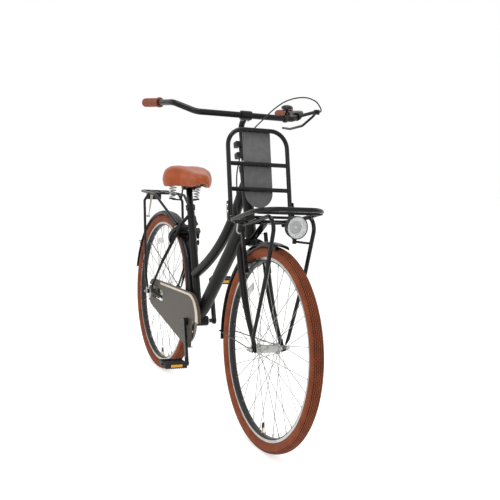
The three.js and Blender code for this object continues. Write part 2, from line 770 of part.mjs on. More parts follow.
// Pale trim along the upper and front edge of the chain case
const trim = { thickness: 1.2, inset: 4, width: 9, frontWidth: 30, rear: 95 };
function makeCaseTrim() {
  const foot = caseFront.z + chainCase.openHeight + gap;
  const frontSteps = 18;
  const points = caseOutline(trim.inset);
  const outer = points.slice(0, frontSteps + 1).filter(([, z]) => z > foot);
  const inner = outer.map(([x, z], i) => {
    const share = 1 - i / (outer.length - 1);
    const width = trim.width + (trim.frontWidth - trim.width) * share;
    const inward = v(caseFront.x - x, 0, caseFront.z - z).normalize();
    return [x + inward.x * width, Math.max(z + inward.z * width, foot + gap * i)];
  });
  const [lastX, lastZ] = outer.at(-1);
  const [rearX, rearZ] = points[frontSteps + 1];
  const endZ = lastZ + ((rearZ - lastZ) * (lastX - trim.rear)) / (lastX - rearX);
  const outline = [
    [outer[0][0], foot], ...outer, [trim.rear, endZ], [trim.rear, endZ - trim.width],
    ...inner.reverse(),
  ];
  return plate(outline, -caseOuter - gap - trim.thickness, -caseOuter - gap);
}
add(bike, 'chain_case_trim', makeCaseTrim(), look(0xd8cbb0, 0.45));

// Fenders: a rolled section swept round the wheel, and a wire stay from the axle
const fenderRollShare = 0.62;
function fenderSection() {
  const roll = fenderHalf * fenderRollShare;
  const inside = fenderHalf - fenderWall;
  const half = [
    [inside, -fenderSkirt], [fenderHalf, -fenderSkirt], [fenderHalf, -fenderWall],
    [roll, fenderCrown],
  ];
  const under = [[roll, fenderCrown - fenderWall], [inside, -2 * fenderWall]];
  const left = (list) => list.map(([x, y]) => [-x, y]).reverse();
  return [...half, ...left(half), ...left(under), ...under]
    .map(([x, y]) => new THREE.Vector2(x, y));
}
function makeFender(from, to, steps) {
  const path = arc(0, 0, fenderRadius, from, to, steps).map(([x, z]) => v(x, 0, z));
  return sweep(fenderSection(), path);
}
function makeFenderStay(angle, eyeStart) {
  const side = fenderHalf + stayWireRadius + gap;
  const reach = fenderOuter + stayWireRadius + gap;
  const middle = eyeStart + eyeWidth / 2;
  const wire = [
    v(nut.radius - gap, middle, 0), v(4 * eyeRadius, middle, 0),
    v(fenderRadius - fenderSkirt, side, 0), v(reach, side, 0),
  ];
  const points = [...wire, ...flip(wire).reverse()];
  return join(
    tube(bend(points, 2 * stayWireRadius, 60), stayWireRadius, 5),
    eye(eyeStart), eye(-eyeStart - eyeWidth),
  ).rotateY(-rad(angle));
}
const fenderRanges = { rear: [-9, 171, 15], front: [82, 188, 9] };
const stayAngles = { rear: 149, front: 183 };
add(bike, 'rear_fender', makeFender(...fenderRanges.rear), glossBlack()).position.copy(rearAxle);
add(bike, 'rear_fender_stay', makeFenderStay(stayAngles.rear, rearEyeStart), glossBlack())
  .position.copy(rearAxle);
add(riding, 'front_fender', makeFender(...fenderRanges.front), glossBlack())
  .position.copy(frontAxle);
add(riding, 'front_fender_stay', makeFenderStay(stayAngles.front, frontEyeStart), glossBlack())
  .position.copy(frontAxle);

// The seat stays with the gap around them, for cutting what is clamped to them.
const staySpace = () => sides.map((side) => (
  tube(bend(side > 0 ? seatStay : flip(seatStay), seatStayBend), around(stayRadius, 6), 6)
));

// Rear carrier: two rails joined behind, cross bars, and two legs
const rack = {
  height: 798, rail: 6, bar: 4.5, half: 70, rear: -214, bend: 30, legX: -78, legHalf: 92,
  legDrop: 34, bars: 24, tab: 12, plateHalf: 30, plateHeight: 40, legLift: 14,
};
const rackBarShares = [0.3, 0.62];
const rackJointShare = 0.06;
function makeRearCarrier() {
  // The rails end beside the seat stays, each on a tab that lies against its stay.
  const joint = seatStay[1].clone().lerp(seatStay[2], rackJointShare);
  const tabStart = joint.y + stayRadius;
  const rail = [
    v(joint.x - rack.tab, tabStart + rack.rail, joint.z + rack.tab / 2),
    v(0, rack.half, rack.height), v(rack.rear, rack.half, rack.height),
  ];
  const parts = [tube(bend([...rail, ...flip(rail).reverse()], rack.bend, 45), rack.rail, 6)];
  for (const share of rackBarShares) {
    const x = rack.rear * share;
    parts.push(rod(v(x, -rack.half, rack.height), v(x, rack.half, rack.height), rack.bar, 6));
  }
  const firstBar = rack.rear * rackBarShares[0];
  for (const side of sides) {
    const y = side * rack.bars;
    parts.push(rod(v(rack.rear, y, rack.height), v(firstBar, y, rack.height), rack.bar, 6));
    parts.push(plate([
      [joint.x - 2 * rack.tab, joint.z + rack.tab / 2], [joint.x, joint.z - rack.tab],
      [joint.x + rack.tab, joint.z], [joint.x, joint.z + rack.tab],
    ], ...span(side, tabStart, tabStart + eyeWidth)));
    const leg = [
      v(rack.legX, side * rack.half, rack.height),
      v(rack.legX, side * rack.legHalf, rack.height - rack.legDrop),
      v(0, side * rack.legHalf, axleHeight + 2 * rack.legDrop),
      v(0, side * (rearCarrierEyeStart + rack.rail), axleHeight + rack.legLift),
    ];
    parts.push(tube(bend(leg, 2 * rack.rail, 60), rack.rail, 6));
    const [eyeY, eyeEnd] = span(side, rearCarrierEyeStart, rearCarrierEyeStart + eyeWidth);
    parts.push(box(-rack.rail, rack.rail, eyeY, eyeEnd,
      axleHeight + eyeRadius / 2, axleHeight + 2 * eyeRadius));
    parts.push(pin(eyeRadius, eyeY, eyeEnd, 0, axleHeight));
  }
  // Rear plate that carries the light
  parts.push(box(rack.rear - eyeWidth / 2, rack.rear + eyeWidth / 2, -rack.plateHalf,
    rack.plateHalf, rack.height - rack.plateHeight, rack.height));
  return cut(join(...parts), ...staySpace(), pin(
    axleHole, -rearNutStart - overrun, rearNutStart + overrun, 0, axleHeight,
  ));
}
add(bike, 'rear_carrier', makeRearCarrier(), glossBlack());

// Rear light on the carrier's rear plate
const light = { half: 36, depth: 20, lens: 6 };
function makeRearLight() {
  const x1 = rack.rear - eyeWidth / 2 - gap;
  const top = rack.height - rack.rail - gap;
  const bottom = rack.height - rack.plateHeight;
  return join(
    box(x1 - light.depth, x1, -light.half, light.half, bottom, top),
    box(x1 - light.depth - light.lens, x1, light.lens - light.half, light.half - light.lens,
      bottom + light.lens, top - light.lens),
  );
}
add(bike, 'rear_light', makeRearLight(), look(0xb3141a, 0.3));

// Elastic strap: three bands fan out from a clip on the right leg to a bar under the rail
const strap = { radius: 1.8, clip: 8, drop: 92, pitch: 13, lead: 20 };
function makeStrap() {
  const y = -rack.half;
  const top = rack.height - rack.rail - gap - strap.radius;
  const foot = v(
    rack.legX + strap.lead + strap.clip,
    -rack.legHalf + rack.rail + gap + strap.clip, top - strap.drop,
  );
  const heads = [0, 1, 2].map((i) => v(rack.legX + strap.lead + i * strap.pitch, y, top));
  return join(
    rod(heads[0].clone().add(v(-strap.radius, 0, 0)), heads[2].clone().add(v(strap.radius, 0, 0)),
      strap.radius, 6),
    box(foot.x - strap.clip, foot.x + strap.clip, foot.y - strap.clip, foot.y + strap.clip / 2,
      foot.z - strap.clip, foot.z),
    ...heads.map((head) => rod(head, foot.clone().add(v(0, 0, -strap.radius)), strap.radius, 6)),
  );
}
add(bike, 'carrier_strap', makeStrap(), look(0xd9cdb4, 0.6));

// Ring lock around the rear tyre, in a plane that contains the axle.
// In its own frame x runs through the ring, y is the bike's left, and z points away from the axle.
const lockAngle = 56;
const lock = {
  radius: 334, inner: 45, outer: 60, depth: 17, wall: 3.5, slot: 4.9, padHalf: 7, padInset: 2,
  bodyHalf: 13, bodyBase: 6, bodyHeight: 36, bodyFront: 13, keyhole: 20,
};
const lockArc = { from: -50, to: 230 };
const knobAngle = 128;
const boltStart = 30;
const lockCentre = v(Math.cos(rad(lockAngle)), 0, Math.sin(rad(lockAngle)))
  .multiplyScalar(lock.radius).add(rearAxle);
const placeLock = (geometry) => (
  geometry.rotateY(rad(90 - lockAngle)).translate(lockCentre.x, 0, lockCentre.z)
);
const lockAhead = v(Math.sin(rad(lockAngle)), 0, -Math.cos(rad(lockAngle)));
const fromLock = (x, y, z) => (
  v(x, y, z).applyAxisAngle(v(0, 1, 0), rad(90 - lockAngle)).add(lockCentre)
);
// A flat ring sector in the lock's plane, with its angles measured from the bike's left.
function ringSector(inner, outer, from, to, depth, steps) {
  const outline = [...arc(0, 0, outer, from, to, steps), ...arc(0, 0, inner, to, from, steps)];
  return plate(outline, -depth / 2, depth / 2).rotateZ(Math.PI / 2);
}
const keyBlade = 2.6;
function makeLock() {
  const ring = ringSector(lock.inner, lock.outer, lockArc.from, lockArc.to, lock.depth, 18);
  const body = box(
    -lock.depth / 2, lock.bodyFront, lock.outer - lock.bodyHalf, lock.outer + lock.bodyHalf,
    lock.bodyBase, lock.bodyBase + lock.bodyHeight,
  );
  const padEnd = lock.inner + lock.wall - gap;
  const pads = sides.map((side) => box(
    0, 2 * stayRadius, ...span(side, padEnd - lock.bodyHalf, padEnd), -lock.padHalf, lock.padHalf,
  ));
  const channel = ringSector(
    lock.inner + lock.wall, lock.outer - lock.wall, lockArc.from - overrun * 2,
    lockArc.to + overrun * 2, lock.depth - 2 * lock.wall, 18,
  );
  const slot = ringSector(
    lock.outer - 2 * lock.wall, lock.outer + lock.wall, knobAngle - overrun * 3,
    lockArc.to - overrun / 2, lock.slot, 6,
  );
  const key = v(0, lock.outer, lock.bodyBase + lock.keyhole);
  const hole = rod(v(gap, key.y, key.z), v(lock.bodyFront + overrun, key.y, key.z),
    around(keyBlade, 8));
  return cut(placeLock(cut(join(ring, body, ...pads), channel, slot, hole)), ...staySpace());
}
add(bike, 'ring_lock', makeLock(), plasticBlack());

// The bolt is an arc that slides round inside the lock, pushed by a knob through the slot.
const bolt = { clear: 0.6, knob: 15, knobHalf: 6 };
function makeLockBolt() {
  const inner = lock.inner + lock.wall + bolt.clear;
  const outer = lock.outer - lock.wall - bolt.clear;
  const depth = lock.depth - 2 * lock.wall - 2 * bolt.clear;
  const half = lock.slot / 2 - bolt.clear;
  const knob = box(-half, half, -bolt.knobHalf, bolt.knobHalf, 0, bolt.knob);
  knob.translate(0, 0, outer - bolt.clear).rotateX(rad(knobAngle - 90));
  return placeLock(join(ringSector(inner, outer, boltStart, lockArc.to - 2, depth, 14), knob));
}
add(bike, 'lock_bolt', makeLockBolt(), silver());

// Key in the lock, with the spare key hanging from it
const key = { head: 22, thickness: 4, reach: 9, spare: 34, link: 5 };
const keyStandShare = 0.74;
function makeKey() {
  const start = fromLock(lock.bodyFront, lock.outer, lock.bodyBase + lock.keyhole);
  const centre = start.clone().addScaledVector(lockAhead, gap + key.head * keyStandShare);
  const flat = (x, z0, z1, half, thickness) => box(
    x - half, x + half, start.y - thickness / 2, start.y + thickness / 2, z0, z1,
  );
  const top = centre.z - key.head / 2 - key.link;
  const x = centre.x + key.link;
  return join(
    flat(centre.x, centre.z - key.head / 2, centre.z + key.head / 2, key.head / 2, key.thickness),
    flat(x, top - key.head, top, key.head / 2, key.thickness),
    flat(x, top - key.head - key.spare, top - key.head / 2, keyBlade, key.thickness / 2),
    rod(v(x, start.y, top - key.link), v(x, start.y, centre.z), key.thickness / 4, 6),
    rod(start.clone().addScaledVector(lockAhead, -key.reach), centre, keyBlade, 8),
  );
}
add(bike, 'lock_key', makeKey(), look(0x8d7a4c, 0.4, 0.6));

// Seat post
const seatPost = { radius: 13.6, above: 84, below: 190 };
const postTop = seatTop.clone().addScaledVector(seatUp, seatPost.above);
add(bike, 'seat_post', rod(
  seatTop.clone().addScaledVector(seatUp, -seatPost.below), postTop, seatPost.radius, 12,
), plasticBlack());

// Saddle: a crowned cushion whose skirt is drawn in below, over a flat recess
const saddle = { rear: 138, length: 272, half: 108, top: 941, bottom: 846, seat: 874, noseDrop: 16 };
const saddleHeight = saddle.top - saddle.bottom;
// Shares of the length, half width and height: where the station is, its width, crown and skirt.
const stationShares = [
  [0, 0.4, 0.62, 0.34], [0.025, 0.62, 0.78, 0.2], [0.08, 0.82, 0.9, 0.07],
  [0.17, 0.96, 0.985, 0], [0.28, 1, 1, 0], [0.38, 0.96, 0.98, 0.01], [0.47, 0.81, 0.945, 0.04],
  [0.58, 0.6, 0.905, 0.07], [0.72, 0.44, 0.883, 0.08], [0.87, 0.365, 0.876, 0.1],
  [0.96, 0.27, 0.83, 0.16], [1, 0.11, 0.64, 0.3],
];
// Shares of the half width, and of the height from the skirt's foot to the crown.
const recessShares = [0, 0.5, 0.76];
const skirtShares = [
  [0.84, 0.03], [0.92, 0], [1, 0.3], [0.985, 0.55], [0.9, 0.79], [0.68, 0.95], [0.36, 1],
  [0, 0.975],
];
function makeSaddle() {
  const rings = stationShares.map(([along, wide, crown, skirt]) => {
    const x = saddle.rear + saddle.length * along;
    const half = saddle.half * wide;
    const top = saddle.bottom + saddleHeight * crown - saddle.noseDrop * along * along;
    const foot = saddle.bottom + saddleHeight * skirt;
    const left = [
      ...recessShares.map((y) => v(x, y * half, Math.max(saddle.seat, foot + gap))),
      ...skirtShares.map(([y, z]) => v(x, y * half, foot + (top - foot) * z)),
    ];
    return [...left, ...flip(left.slice(1, -1)).reverse()];
  });
  const count = rings[0].length;
  const positions = rings.flat().flatMap((p) => [p.x, p.y, p.z]);
  const index = [];
  for (let s = 0; s < rings.length - 1; s += 1) {
    for (let i = 0; i < count; i += 1) {
      const a = s * count + i;
      const b = s * count + ((i + 1) % count);
      index.push(a, b, a + count, b, b + count, a + count);
    }
  }
  for (const s of [0, rings.length - 1]) {
    const centre = positions.length / 3;
    const mean = rings[s].reduce((sum, p) => sum.add(p), v(0, 0, 0)).divideScalar(count);
    positions.push(mean.x, mean.y, mean.z);
    for (let i = 0; i < count; i += 1) {
      const a = s * count + i;
      const b = s * count + ((i + 1) % count);
      if (s === 0) index.push(b, a, centre);
      else index.push(a, b, centre);
    }
  }
  const geometry = new THREE.BufferGeometry();
  geometry.setAttribute('position', new THREE.Float32BufferAttribute(positions, 3));
  geometry.setIndex(index);
  geometry.computeVertexNormals();
  return geometry;
}
add(bike, 'saddle', makeSaddle(), look(0xb4562b, 0.6));

// Stiff base under the cushion
const baseThickness = 3;
const baseShare = 0.6;
function makeSaddleBase() {
  const edge = stationShares.slice(1, -2).map(([along, wide]) => (
    new THREE.Vector2(saddle.rear + saddle.length * along, wide * saddle.half * baseShare)
  ));
  const outline = [...edge, ...edge.map((p) => new THREE.Vector2(p.x, -p.y)).reverse()];
  const geometry = new THREE.ExtrudeGeometry(new THREE.Shape(outline), {
    depth: baseThickness, bevelEnabled: false,
  });
  return geometry.translate(0, 0, saddle.seat - gap - baseThickness);
}
add(bike, 'saddle_base', makeSaddleBase(), plasticBlack());

// Saddle springs: coils that widen upwards, between the frame's cups and the base
const spring = { x: 190, half: 55, foot: 796, radius: 19, wire: 2 };
const springFootShare = 0.62;
const springCurls = 5;
const springCurlSteps = 8;
const springHead = saddle.seat - gap - baseThickness - gap;
function springPath(side) {
  const steps = springCurls * springCurlSteps;
  const low = spring.foot + spring.wire + gap;
  const high = springHead - spring.wire;
  const points = [];
  for (let i = 0; i <= steps; i += 1) {
    const share = i / steps;
    const angle = (2 * Math.PI * i) / springCurlSteps;
    const radius = spring.radius * (springFootShare + (1 - springFootShare) * share);
    points.push(v(
      spring.x + radius * Math.cos(angle), side * (spring.half + radius * Math.sin(angle)),
      low + (high - low) * share,
    ));
  }
  return points;
}
// Least gap between points half a turn or more apart, less the wire's diameter.
function leastGap(points, radius) {
  let least = Infinity;
  for (let i = 0; i < points.length; i += 1) {
    for (let k = i + springCurlSteps / 2; k < points.length; k += 1) {
      least = Math.min(least, points[i].distanceTo(points[k]) - 2 * radius);
    }
  }
  return least;
}
for (const side of sides) {
  const path = springPath(side);
  const name = `saddle_spring_${sideNames.get(side)}`;
  console.log(`${name}: least gap to itself ${leastGap(path, spring.wire).toFixed(2)} mm`);
  add(bike, name, tube(path, spring.wire, 5), silver());
}

// Saddle frame: two rails, the spring cups with their cross bar, and the seat post clamp
const saddleFrame = {
  rail: 3.5, railHalf: 22, noseHalf: 10, cup: 15, cupThickness: 3, clamp: 13, clampHalf: 28, wall: 4,
};
const railNoseShare = 0.84;
function makeSaddleFrame() {
  const f = saddleFrame;
  const railZ = postTop.z - f.rail;
  const cupZ = spring.foot - f.rail;
  const noseZ = springHead - f.rail;
  const noseX = saddle.rear + saddle.length * railNoseShare;
  const parts = [];
  for (const side of sides) {
    const rail = [
      v(spring.x, side * spring.half, cupZ), v(spring.x + f.railHalf, side * f.railHalf, cupZ),
      v(postTop.x - f.clamp, side * f.railHalf, railZ),
      v(postTop.x + 2 * f.clamp, side * f.railHalf, railZ), v(noseX, side * f.noseHalf, noseZ),
    ];
    parts.push(tube(bend(rail, 2 * f.rail, 60), f.rail, 6));
    parts.push(post(f.cup, spring.foot - f.cupThickness, spring.foot, 8)
      .translate(spring.x, side * spring.half, 0));
  }
  parts.push(rod(v(spring.x, -spring.half, cupZ), v(spring.x, spring.half, cupZ), f.rail, 6));
  parts.push(rod(v(noseX, -f.noseHalf, noseZ), v(noseX, f.noseHalf, noseZ), f.rail, 6));
  parts.push(pin(f.clamp, -f.clampHalf, f.clampHalf, postTop.x, railZ));
  const below = postTop.clone().addScaledVector(seatUp, -2 * f.clamp);
  parts.push(rod(below, postTop, seatPost.radius + f.wall, 12));
  const bore = rod(
    below.clone().addScaledVector(seatUp, -f.clamp),
    postTop.clone().addScaledVector(seatUp, 2 * f.clamp), seatPost.radius + gap, 12,
  );
  return cut(join(...parts), bore);
}
add(bike, 'saddle_frame', makeSaddleFrame(), silver());

// Fork: two blades that curve inwards to the steerer and forwards to the axle
const blade = { start: 14, top: 312, overlap: 8, spread: 1.3, bend: 36 };
const bladeTaperShare = 0.65;
const bladeCurve = 2.1;
const boss = { height: 280, half: 44, radius: 6, front: 20, stud: 4, studLength: 14 };
const crownPad = { front: 16, half: 14, below: 13, above: 8 };
const race = { start: 13, cone: 19, end: 21.4 };
const lugRadius = 7;
const forkDrop = { half: 11, height: 33 };
function makeBlade(side) {
  const steps = 4;
  const profile = [[0, blade.start]];
  for (let i = 0; i <= steps; i += 1) {
    const share = i / steps;
    profile.push([
      bladeTipRadius + (bladeTopRadius - bladeTipRadius) * Math.min(1, share / bladeTaperShare),
      blade.start + (blade.top - blade.start) * share,
    ]);
  }
  profile.push([0, blade.top]);
  const geometry = upright(turned(profile, 8));
  const place = geometry.attributes.position;
  for (let i = 0; i < place.count; i += 1) {
    const low = 1 - (place.getZ(i) - blade.start) / (blade.top - blade.start);
    place.setX(i, place.getX(i) + forkRake * Math.max(low, 0) ** bladeCurve);
    place.setY(i, place.getY(i) + side * (bladeHalf + blade.spread * low));
  }
  return geometry;
}
function makeFork() {
  const parts = [
    post(steererRadius, crownHeight, headsetTop + gap, 12),
    upright(turned([
      [0, crownHeight], [steererRadius + gap, crownHeight],
      [steererRadius + gap, crownHeight + race.start], [headTube.radius, crownHeight + race.cone],
      [headTube.radius, crownHeight + race.end], [0, crownHeight + race.end],
    ], 12)),
    box(0, crownPad.front, -crownPad.half, crownPad.half,
      crownHeight - crownPad.below, crownHeight + crownPad.above),
  ];
  for (const side of sides) {
    parts.push(tube(bend([
      v(0, 0, crownHeight), v(0, side * bladeHalf, crownHeight),
      v(0, side * bladeHalf, blade.top - blade.overlap),
    ], blade.bend, 45), bladeTopRadius, 8));
    parts.push(makeBlade(side));
    parts.push(plate([
      [forkRake - forkDrop.half, -forkDrop.half], [forkRake + forkDrop.half, -forkDrop.half],
      [forkRake + forkDrop.half / 2, forkDrop.height], [forkRake - forkDrop.half, forkDrop.height],
    ], ...span(side, frontDropInner, frontDropOuter)));
    const y = side * boss.half;
    parts.push(rod(v(0, y, boss.height), v(boss.front, y, boss.height), boss.radius, 6));
    parts.push(rod(v(0, y, boss.height), v(boss.front + boss.studLength, y, boss.height),
      boss.stud, 8));
  }
  // Lug under the crown that carries the fender, pointing at the axle
  const crown = v(0, 0, crownHeight);
  const hub = v(forkRake, 0, 0);
  const toCrown = crown.clone().sub(hub).normalize();
  parts.push(rod(hub.clone().addScaledVector(toCrown, fenderOuter + gap), crown, lugRadius, 6));
  const steererHole = post(steererBore, crownHeight + bladeTopRadius, headsetTop + overrun, 12);
  const wheelHole = pin(
    axleHole, -frontDropOuter - overrun, frontDropOuter + overrun, forkRake, 0,
  );
  return cut(join(...parts), steererHole, wheelHole);
}
add(steering, 'fork', makeFork(), satinBlack());

// Stem: quill, forward extension and handlebar clamp
const stem = { depth: 70, drop: 21, clamp: 17, clampHalf: 21 };
function makeStem() {
  const high = stemClampHeight - stem.drop;
  const centre = v(stemReach, 0, stemClampHeight);
  const body = join(
    post(quillRadius, headsetTop - stem.depth, high, 12),
    rod(v(-quillRadius / 2, 0, high - quillRadius), centre, quillRadius, 10),
    pin(stem.clamp, -stem.clampHalf, stem.clampHalf, centre.x, centre.z, 12),
  );
  return cut(body, pin(
    around(barRadius, 12), -stem.clampHalf - overrun, stem.clampHalf + overrun,
    centre.x, centre.z, 12,
  ));
}
add(steering, 'stem', makeStem(), satinBlack());

// Clip on the quill with two blocks that guide cables
const clip = { wall: 2.5, low: 710, high: 753, height: 20, block: 14, back: 22, front: 4 };
function makeStemClip() {
  const outer = quillRadius + gap + clip.wall;
  const inner = quillRadius + gap + clip.wall / 2;
  const parts = [box(-clip.wall, clip.wall, -outer - clip.wall, -inner,
    clip.low, clip.high + clip.height)];
  for (const z of [clip.low, clip.high]) {
    parts.push(upright(collar(outer, around(quillRadius, 10), z, z + clip.height, 10)));
    parts.push(box(-clip.back, clip.front, -outer - clip.block, -inner, z, z + clip.height));
  }
  return join(...parts);
}
add(steering, 'stem_clip', makeStemClip(), plasticBlack());

// Handlebar, swept back and raised, in the bike's frame
const barCentre = fromSteering(stemReach, 0, stemClampHeight);
const bar = { bend: 45, straight: 195, back: 60, shoulder: 262, rise: 28, sweep: 306, end: 285 };
const barPoints = [
  v(0, bar.straight, 0), v(-bar.back, bar.shoulder, bar.rise), v(-bar.sweep, bar.end, bar.rise),
].map((p) => p.add(barCentre));
const barPath = bend([...flip(barPoints).reverse(), ...barPoints], bar.bend, 20);
add(riding, 'handlebar', tube(barPath, barRadius, 10), satinBlack());

// Mirrors a geometry to the bike's right and turns its faces outwards again.
function mirror(geometry) {
  const copy = geometry.clone().scale(1, -1, 1);
  const index = copy.index.array;
  for (let i = 0; i < index.length; i += 3) [index[i], index[i + 1]] = [index[i + 1], index[i]];
  copy.computeVertexNormals();
  return copy;
}

// Grips cover the last stretch of the bar and its ends.
const grip = { length: 130, flangeRadius: 21, flange: 6, cap: 5 };
const gripNeckShare = 0.86;
function makeGrip() {
  const bore = around(barRadius, 10);
  const geometry = turned([
    [0, gap], [bore, gap], [bore, -grip.length], [grip.flangeRadius, -grip.length],
    [grip.flangeRadius, grip.flange - grip.length], [gripRadius, 2 * grip.flange - grip.length],
    [gripRadius, 0], [gripRadius * gripNeckShare, grip.cap], [0, grip.cap],
  ], 10);
  const [from, to] = barPoints.slice(-2);
  const out = to.clone().sub(from).normalize();
  geometry.applyQuaternion(new THREE.Quaternion().setFromUnitVectors(v(0, 1, 0), out));
  return geometry.translate(to.x, to.y, to.z);
}
add(riding, 'grip_left', makeGrip(), look(0xa5502c, 0.7));
add(riding, 'grip_right', mirror(makeGrip()), look(0xa5502c, 0.7));

// Brake lever bracket on the left bend: clamp, arm, and two cheeks that hold the lever's pin.
// The lever's frame has its pivot as origin, and y along the pin.
const leverPivot = at({ x: 790, y: 284, z: 1186 });
const leverTurn = Math.atan2(bar.end - bar.shoulder, bar.sweep - bar.back);
const holder = {
  collar: 22, wall: 5, arm: 6.5, hub: 9, hubHalf: 4, cheek: 3, pin: 3, adjuster: 12,
  adjusterRadius: 4.5, armX: 15, armY: 8, lead: 6,
};
const fromLever = (x, y = 0, z = 0) => (
  v(x, y, z).applyAxisAngle(v(0, 0, 1), -leverTurn).add(leverPivot)
);
const placeLever = (geometry) => (
  geometry.rotateZ(-leverTurn).translate(leverPivot.x, leverPivot.y, leverPivot.z)
);
const bendRun = barPoints[1].clone().sub(barPoints[0]).normalize();
const bendMiddle = barPoints[0].clone().lerp(barPoints[1], 0.5);
const webEnd = holder.hub + 2 * holder.adjusterRadius;
function makeLeverBracket() {
  const ring = collar(
    barRadius + 2 * gap + holder.wall, around(barRadius, 10), -holder.collar / 2, holder.collar / 2, 10,
  );
  ring.applyQuaternion(new THREE.Quaternion().setFromUnitVectors(v(0, 1, 0), bendRun));
  ring.translate(bendMiddle.x, bendMiddle.y, bendMiddle.z);
  const near = holder.hubHalf + gap;
  const far = near + holder.cheek;
  const cheeks = sides.flatMap((side) => [
    placeLever(pin(holder.hub, ...span(side, near, far))),
    placeLever(box(0, webEnd, ...span(side, near, far), -holder.hub, holder.hub)),
  ]);
  const web = placeLever(box(holder.hub + gap, webEnd, -far, far, -holder.hub, holder.hub));
  const arm = rod(
    bendMiddle.clone().add(v(barRadius + holder.arm, 0, 0)),
    fromLever(holder.armX, -holder.armY), holder.arm,
  );
  const adjuster = rod(
    fromLever(holder.hub + gap), fromLever(webEnd + holder.adjuster), holder.adjusterRadius,
  );
  const axle = placeLever(pin(holder.pin, -far + gap, far - gap));
  const barHole = tube(barPath, around(barRadius, 10), 10);
  return join(ring, cut(arm, barHole), ...cheeks, web, adjuster, axle);
}
add(riding, 'brake_lever_bracket', makeLeverBracket(), look(0x6f7072, 0.35, 0.8));

// Brake lever: hub, then a blade that drops below the grip and runs back along it
const lever = { drop: 66, tipDrop: 62, shift: 26, knee: 60, reach: 262, lead: 20, radius: 5, bend: 20 };
const leverKneeShare = 0.8;
const leverTailShare = 0.7;
function makeLever() {
  const path = [
    v(0, 0, 0), v(-lever.lead, 0, -lever.lead * leverTailShare),
    v(-lever.knee, -lever.shift, -lever.drop * leverKneeShare),
    v(-lever.reach * leverTailShare, -lever.shift, -lever.drop),
    v(-lever.reach, -lever.shift, -lever.tipDrop),
  ];
  const solid = join(
    pin(holder.hub - gap, -holder.hubHalf, holder.hubHalf),
    tube(bend(path, lever.bend), lever.radius),
  );
  const room = sides.map((side) => box(
    -holder.hub - 2 * gap, webEnd, ...span(side, holder.hubHalf, 4 * holder.hub),
    -lever.lead, lever.lead,
  ));
  const hole = pin(holder.pin + gap, -2 * holder.hub, 2 * holder.hub);
  return placeLever(cut(solid, hole, ...room));
}
add(riding, 'brake_lever', makeLever(), silver());

// Bell on the left of the bar: clamp, base and dome on one post, and its thumb lever
const bellPlace = at({ x: 768, y: 172, z: 1181 });
const bell = {
  side: 162, radius: 22, baseRadius: 20, base: 4, slot: 4, height: 24, post: 3.5, clamp: 12, foot: 5,
};
const bellDomeShares = [[1, 0], [1, 0.35], [0.82, 0.75], [0.45, 0.97], [0, 1]];
function makeBell() {
  const start = bell.base + bell.slot;
  const rise = bell.height - start;
  const inner = around(barRadius, 10) + gap;
  const ring = collar(inner + clip.wall, inner, -bell.clamp / 2, bell.clamp / 2, 10);
  ring.translate(barCentre.x, bell.side, barCentre.z);
  const stack = join(
    post(bell.baseRadius, 0, bell.base, 10),
    upright(turned([
      [0, start], ...bellDomeShares.map(([r, z]) => [r * bell.radius, start + z * rise]),
    ], 10)),
    post(bell.post, 0, start + bell.base, 8),
  ).translate(bellPlace.x, bellPlace.y, bellPlace.z);
  const foot = rod(
    v(barCentre.x, bell.side, barCentre.z + inner + clip.wall),
    bellPlace, bell.foot,
  );
  return join(ring, foot, stack);
}
add(riding, 'bell', makeBell(), look(0x2a2a2a, 0.3, 0.6));

const bellLever = { reach: 32, half: 4 };
function makeBellLever() {
  const z0 = bellPlace.z + bell.base + gap;
  const z1 = bellPlace.z + bell.base + bell.slot - gap;
  const arm = box(-bellLever.reach, -bell.post - gap, -bellLever.half, bellLever.half, z0, z1);
  const hole = post(around(bell.post, 8), z0 - overrun, z1 + overrun, 8);
  return cut(join(post(2 * bell.post, z0, z1, 8), arm), hole)
    .translate(bellPlace.x, bellPlace.y, 0);
}
add(riding, 'bell_lever', makeBellLever(), plasticBlack());

